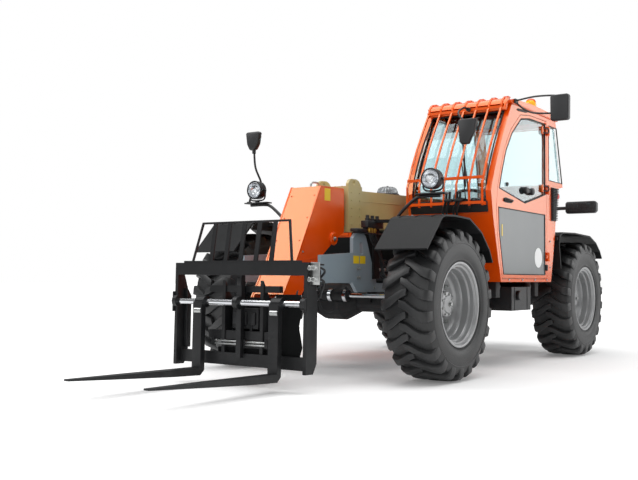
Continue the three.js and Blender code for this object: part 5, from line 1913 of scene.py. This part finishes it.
def precleaner_details():
    centre = at(INTAKE_X, INTAKE_Y, DECK_Z)
    neck = turned(
        "intake neck",
        [
            (0, 0), (0, 0.062), (0.060, 0.062), (0.066, 0.070), (0.080, 0.124), (0.086, 0.129),
            (0.118, 0.130), (0.124, 0.124), (0.126, 0.100), (0.126, 0),
        ],
        centre, TO_TOP, 44,
    )
    vanes = [neck]
    for i in range(VANES):
        angle = i * math.pi / (VANES / 2)
        x, y = INTAKE_X + VANE_RING * math.cos(angle), INTAKE_Y + VANE_RING * math.sin(angle)
        vanes.append(
            bar(
                "vane",
                (x - 0.002, y - 0.002, DECK_Z + 0.088),
                (x + 0.002, y + 0.002, DECK_Z + 0.117),
                0.0008, 1,
            )
        )
    cap = turned(
        "cap knob",
        [(0.196, 0), (0.196, 0.014), (0.206, 0.014), (0.2115, 0.008), (0.2115, 0)],
        centre, TO_TOP, 20,
    )
    fit_group("precleaner_body", [*vanes, cap], trim_plastic, "precleaner")
    bowl = turned(
        "precleaner_bowl",
        [
            (0.124, 0.112), (0.128, 0.114), (0.150, 0.113), (0.176, 0.104), (0.192, 0.086), (0.200, 0.060),
            (0.203, 0.016), (0.200, 0.016), (0.197, 0.058), (0.189, 0.083), (0.174, 0.100), (0.149, 0.109),
            (0.128, 0.110), (0.124, 0.112),
        ],
        centre, TO_TOP, 44,
    )
    fit(bowl, smoked_glass)
    core = turned(
        "precleaner_core",
        [(0.124, 0), (0.124, 0.052), (0.160, 0.050), (0.190, 0.038), (0.197, 0.0)],
        centre, TO_TOP, 32,
    )
    fit(core, zinc)
    band = turned(
        "intake_band",
        [(0.020, 0.0622), (0.020, 0.065), (0.034, 0.065), (0.034, 0.0622), (0.020, 0.0622)],
        centre, TO_TOP, 40,
    )
    fit(band, zinc)


# ---------- Tank, counterweight ----------
def tank_details():
    pieces = [
        turned(
            "filler cap",
            [(0, 0), (0, 0.040), (0.006, 0.044), (0.022, 0.044), (0.028, 0.038), (0.028, 0)],
            at(1.0002, 1.440, 0.640), TO_LEFT, 32,
        ),
        bar("tank strap", (0.990, 1.365, 0.505), (1.004, 1.385, 0.712), 0.002),
        bar("tank strap", (0.990, 1.660, 0.505), (1.004, 1.680, 0.712), 0.002),
    ]
    lugs = []
    for y in (1.085, 1.800):
        lugs.append(
            turned(
                "cab mount",
                [
                    (0, 0), (0, 0.038), (0.012, 0.042), (0.030, 0.042), (0.040, 0.036), (0.062, 0.036),
                    (0.062, 0),
                ],
                at(0.940, y, 0.700), TO_TOP, 28,
            )
        )
        lugs.append(bar("mount arm", (0.400, y - 0.022, 0.676), (0.972, y + 0.022, 0.702), 0.004))
    covers = [
        bar("outrigger cover", (0.3865, y - 0.0035, 0.6265), (1.0035, y + 0.0835, 0.7624), 0.003)
        for y in (0.950, 1.850)
    ]
    fit_group("outrigger_covers", covers, cast_iron)
    fit_group("tank_fittings", [*pieces, *lugs], trim_plastic)


def rear_details():
    heads = [(x, 3.6504, z) for x in (-0.36, -0.12, 0.12, 0.36) for z in (0.66, 0.98)]
    fit(bolt_heads("counterweight_bolts", heads, TO_BACK, 0.016), zinc)
    pin = tube(
        "hitch_pin",
        [
            (0, 3.695, 0.625), (0, 3.695, 0.70), (0, 3.695, 0.775), (0.0, 3.693, 0.795),
            (0.03, 3.690, 0.805), (0.045, 3.690, 0.790),
        ],
        0.012, 4,
    )
    fit(pin, zinc)
    reflectors = [
        bar("reflector", (x - 0.05, 3.6495, 0.880), (x + 0.05, 3.6560, 0.920), 0.003)
        for x in (-0.37, 0.37)
    ]
    fit_group("rear_reflectors", reflectors, red_lens)


fender_details()
hood_details()
precleaner_details()
tank_details()
rear_details()


# ---------- Carriage side of the nose ----------
def nose_end_shade_plates():
    """Black plates that close the nose's foot, where the carriage's pin and hoses sit; they paint shade over
    the orange nose there.
    """
    skin = []
    for side in (-1, 1):
        outline = [
            (-0.975, 0.612), (-0.884, 0.612), (-0.705, 0.560), (-0.884, 0.304), (-0.960, 0.279),
            (-1.023, 0.314), (-1.131, 0.384), (-1.084, 0.438),
        ]
        skin.append(side_plate("nose foot", outline, side * 0.1503, side * 0.1545, 0.001, 1))
    cover = side_plate(
        "nose foot front",
        [
            (-0.980, 0.618), (-0.974, 0.614), (-1.083, 0.440), (-1.129, 0.384), (-1.137, 0.384),
            (-1.090, 0.442),
        ],
        -0.154, 0.154, 0.001, 1,
    )
    rim = [
        (0.1945, 0.0523), (0.1945, 0.058), (0.212, 0.058), (0.216, 0.050), (0.216, 0), (0.2083, 0),
        (0.2083, 0.0523), (0.1945, 0.0523),
    ]
    boss = [turned("pivot cap", rim, at(0, *CARRIAGE_PIVOT), (side, 0, 0), 32) for side in (-1, 1)]
    fit_group("nose_foot_painted_shade", [*skin, cover, *boss], black_paint, body="boom_inner")


# ---------- Cab inside ----------
PAD_SWELL = 0.012
PAD_VOXEL = 0.012
PAD_PRESSURE = 4.0
CLOTH_FRAMES = 20


def seat_pad(name, node, lo_in, hi_in):
    """A pad blown up like a filled cloth cover inside the room that its solid holds."""
    low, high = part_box(node)
    low, high = low + Vector(lo_in), high - Vector(hi_in)
    deselect()
    bpy.ops.mesh.primitive_cube_add(size=1, location=(low + high) / 2, scale=high - low)
    obj = bpy.context.active_object
    obj.name = name
    bpy.ops.object.transform_apply(location=True, rotation=True, scale=True)
    rounded(obj, 0.030, 4)
    take(obj)
    obj.data.remesh_voxel_size = PAD_VOXEL
    bpy.ops.object.voxel_remesh()
    start = [v.co.copy() for v in obj.data.vertices]
    modifier = obj.modifiers.new("Cloth", "CLOTH")
    modifier.settings.use_pressure = True
    modifier.settings.uniform_pressure_force = PAD_PRESSURE
    modifier.settings.effector_weights.gravity = 0
    modifier.point_cache.frame_start, modifier.point_cache.frame_end = 1, CLOTH_FRAMES
    for step in range(1, CLOTH_FRAMES + 1):
        bpy.context.scene.frame_set(step)
    blown = obj.evaluated_get(bpy.context.evaluated_depsgraph_get())
    ends = [v.co.copy() for v in blown.data.vertices]
    obj.modifiers.remove(modifier)
    for vertex, a, b in zip(obj.data.vertices, start, ends):
        move = b - a
        vertex.co = a + move * min(1.0, PAD_SWELL / max(move.length, 1e-9))
    bpy.context.scene.frame_set(1)
    use(obj, "SUBSURF", "Soft cover", levels=1, render_levels=1)
    settle(obj, 60)
    return obj


def seat_details():
    cushion = seat_pad("seat_cushion_pad", "seat_cushion", (0.016, 0.016, 0.014), (0.016, 0.016, 0.016))
    fit(cushion, seat_cloth, "seat_cushion")
    back = seat_pad("seat_back_pad", "seat_back", (0.016, 0.014, 0.016), (0.016, 0.014, 0.016))
    fit(back, seat_cloth, "seat_back")
    pieces = []
    for side in (-1, 1):
        x = 0.700 + side * 0.262
        pieces.append(bar("arm pad", (x - 0.032, 1.600, 1.392), (x + 0.032, 1.900, 1.430), 0.014, 3))
        pieces.append(bar("arm stay", (x - 0.012, 1.900, 1.300), (x + 0.012, 1.960, 1.420), 0.006))
    pieces.append(bar("console", (0.385, 1.400, 1.000), (0.500, 1.640, 1.190), 0.016, 3))
    pieces.append(bar("console foot", (0.400, 1.420, 0.8085), (0.485, 1.620, 1.004), 0.010, 2))
    fit_group("seat_arms", pieces, trim_plastic)
    levers = []
    for x, y in ((0.420, 1.450), (0.460, 1.450), (0.442, 1.540)):
        levers.append(tube("lever", [(x, y, 1.185), (x, y - 0.015, 1.250), (x, y - 0.045, 1.330)], 0.007, 4))
        levers.append(
            turned(
                "lever knob",
                [(0, 0), (0, 0.014), (0.020, 0.020), (0.044, 0.021), (0.058, 0.015), (0.062, 0)],
                at(x, y - 0.045, 1.325), (0, -0.25, 1), 18,
            )
        )
    fit_group("cab_levers", levers, seal_rubber)


def liner_details():
    """Dark trim inside the cab: head lining, back wall, pillars and the sill under the screen."""
    pieces = [
        bar("head lining", (0.345, 1.120, 2.300), (1.040, 1.980, 2.328), 0.006),
        bar("back trim", (0.350, 2.040, 0.840), (1.040, 2.050, 1.150), 0.004),
        bar("floor mat", (0.350, 0.900, 0.8085), (1.040, 1.500, 0.814), 0.003),
    ]
    for x0, x1 in ((0.3385, 0.352), (1.036, 1.048)):
        inner = [(front_y(z) + 0.052, z) for z in (1.40, 1.64, 1.87, 2.10, 2.29)]
        outer = [(y + 0.060, z) for y, z in reversed(inner)]
        pieces.append(side_plate("pillar trim", [*inner, *outer], x0, x1, 0.003, 1))
    pieces.append(bar("sill trim", (0.350, 0.700, 1.380), (1.040, 0.860, 1.396), 0.004))
    fit_group("cab_liner", pieces, inner_black)
    visor = front_plate("sun_visor", oblong(0.420, 2.130, 0.960, 2.290), 1.136, 1.142, 0.002)
    fit(visor, trim_plastic)


nose_end_shade_plates()
seat_details()
liner_details()


# ---------- Floor, light ----------
def make_floor():
    deselect()
    bpy.ops.mesh.primitive_plane_add(size=120, location=(0, 0, -0.002))
    floor = bpy.context.active_object
    floor.name = "studio_floor"
    material, tree, shader = bare_material("Studio floor", Roughness=0.9, Base_Color=(0.9, 0.9, 0.9, 1))
    out = tree.nodes["Material Output"]
    rays = add_node(tree, "ShaderNodeLightPath").outputs
    seen = math_of(tree, "MAXIMUM", rays["Is Camera Ray"], rays["Is Transmission Ray"])
    seen = math_of(tree, "MAXIMUM", seen, math_of(tree, "MULTIPLY", rays["Is Glossy Ray"], 0.3))
    far = add_node(tree, "ShaderNodeVectorMath", [(0, place_of(tree))], operation="LENGTH").outputs["Value"]
    level = between(tree, far, 3.4, 10.0, 0.13, 0.9)
    glow = add_node(
        tree, "ShaderNodeEmission",
        [("Color", (1, 1, 1, 1)), ("Strength", math_of(tree, "MULTIPLY", seen, level))],
    )
    total = add_node(tree, "ShaderNodeAddShader", [(0, shader.outputs[0]), (1, glow.outputs[0])])
    tree.links.new(total.outputs[0], out.inputs["Surface"])
    paint(floor, material)


def make_world():
    world = bpy.data.worlds.new("Studio")
    bpy.context.scene.world = world
    world.use_nodes = True
    tree = world.node_tree
    background = tree.nodes["Background"]
    rays = add_node(tree, "ShaderNodeLightPath").outputs
    seen = math_of(tree, "MAXIMUM", rays["Is Camera Ray"], rays["Is Transmission Ray"])
    seen = math_of(tree, "MAXIMUM", seen, math_of(tree, "MULTIPLY", rays["Is Glossy Ray"], 0.3))
    sky = math_of(tree, "MULTIPLY", rays["Is Diffuse Ray"], 0.46)
    strength = math_of(tree, "MAXIMUM", seen, sky)
    tree.links.new(strength, background.inputs["Strength"])
    background.inputs["Color"].default_value = (1, 1, 1, 1)


def area_light(name, place, target, size, power):
    deselect()
    bpy.ops.object.light_add(type="AREA", location=place)
    lamp = bpy.context.active_object
    lamp.name = name
    lamp.data.shape = "RECTANGLE"
    lamp.data.size, lamp.data.size_y = size
    lamp.data.energy = power
    away = Vector(place) - Vector(target)
    lamp.rotation_euler = away.to_track_quat("Z", "Y").to_euler()


make_floor()
make_world()
area_light("overhead softbox", at(0.5, 0.6, 7.5), at(0, 0.8, 0.6), (7, 9), 520)
area_light("rear left softbox", at(5.6, 8.0, 3.2), at(1.1, 1.5, 1.7), (5.0, 4.6), 165)
area_light("front right softbox", at(-3.6, -3.1, 5.3), at(0, -0.6, 1.2), (3.4, 3.4), 150)
area_light("front softbox", at(2.0, -9.0, 4.0), at(0, -0.6, 0.8), (5, 4), 130)

scene = bpy.context.scene
scene.view_settings.view_transform = "Standard"
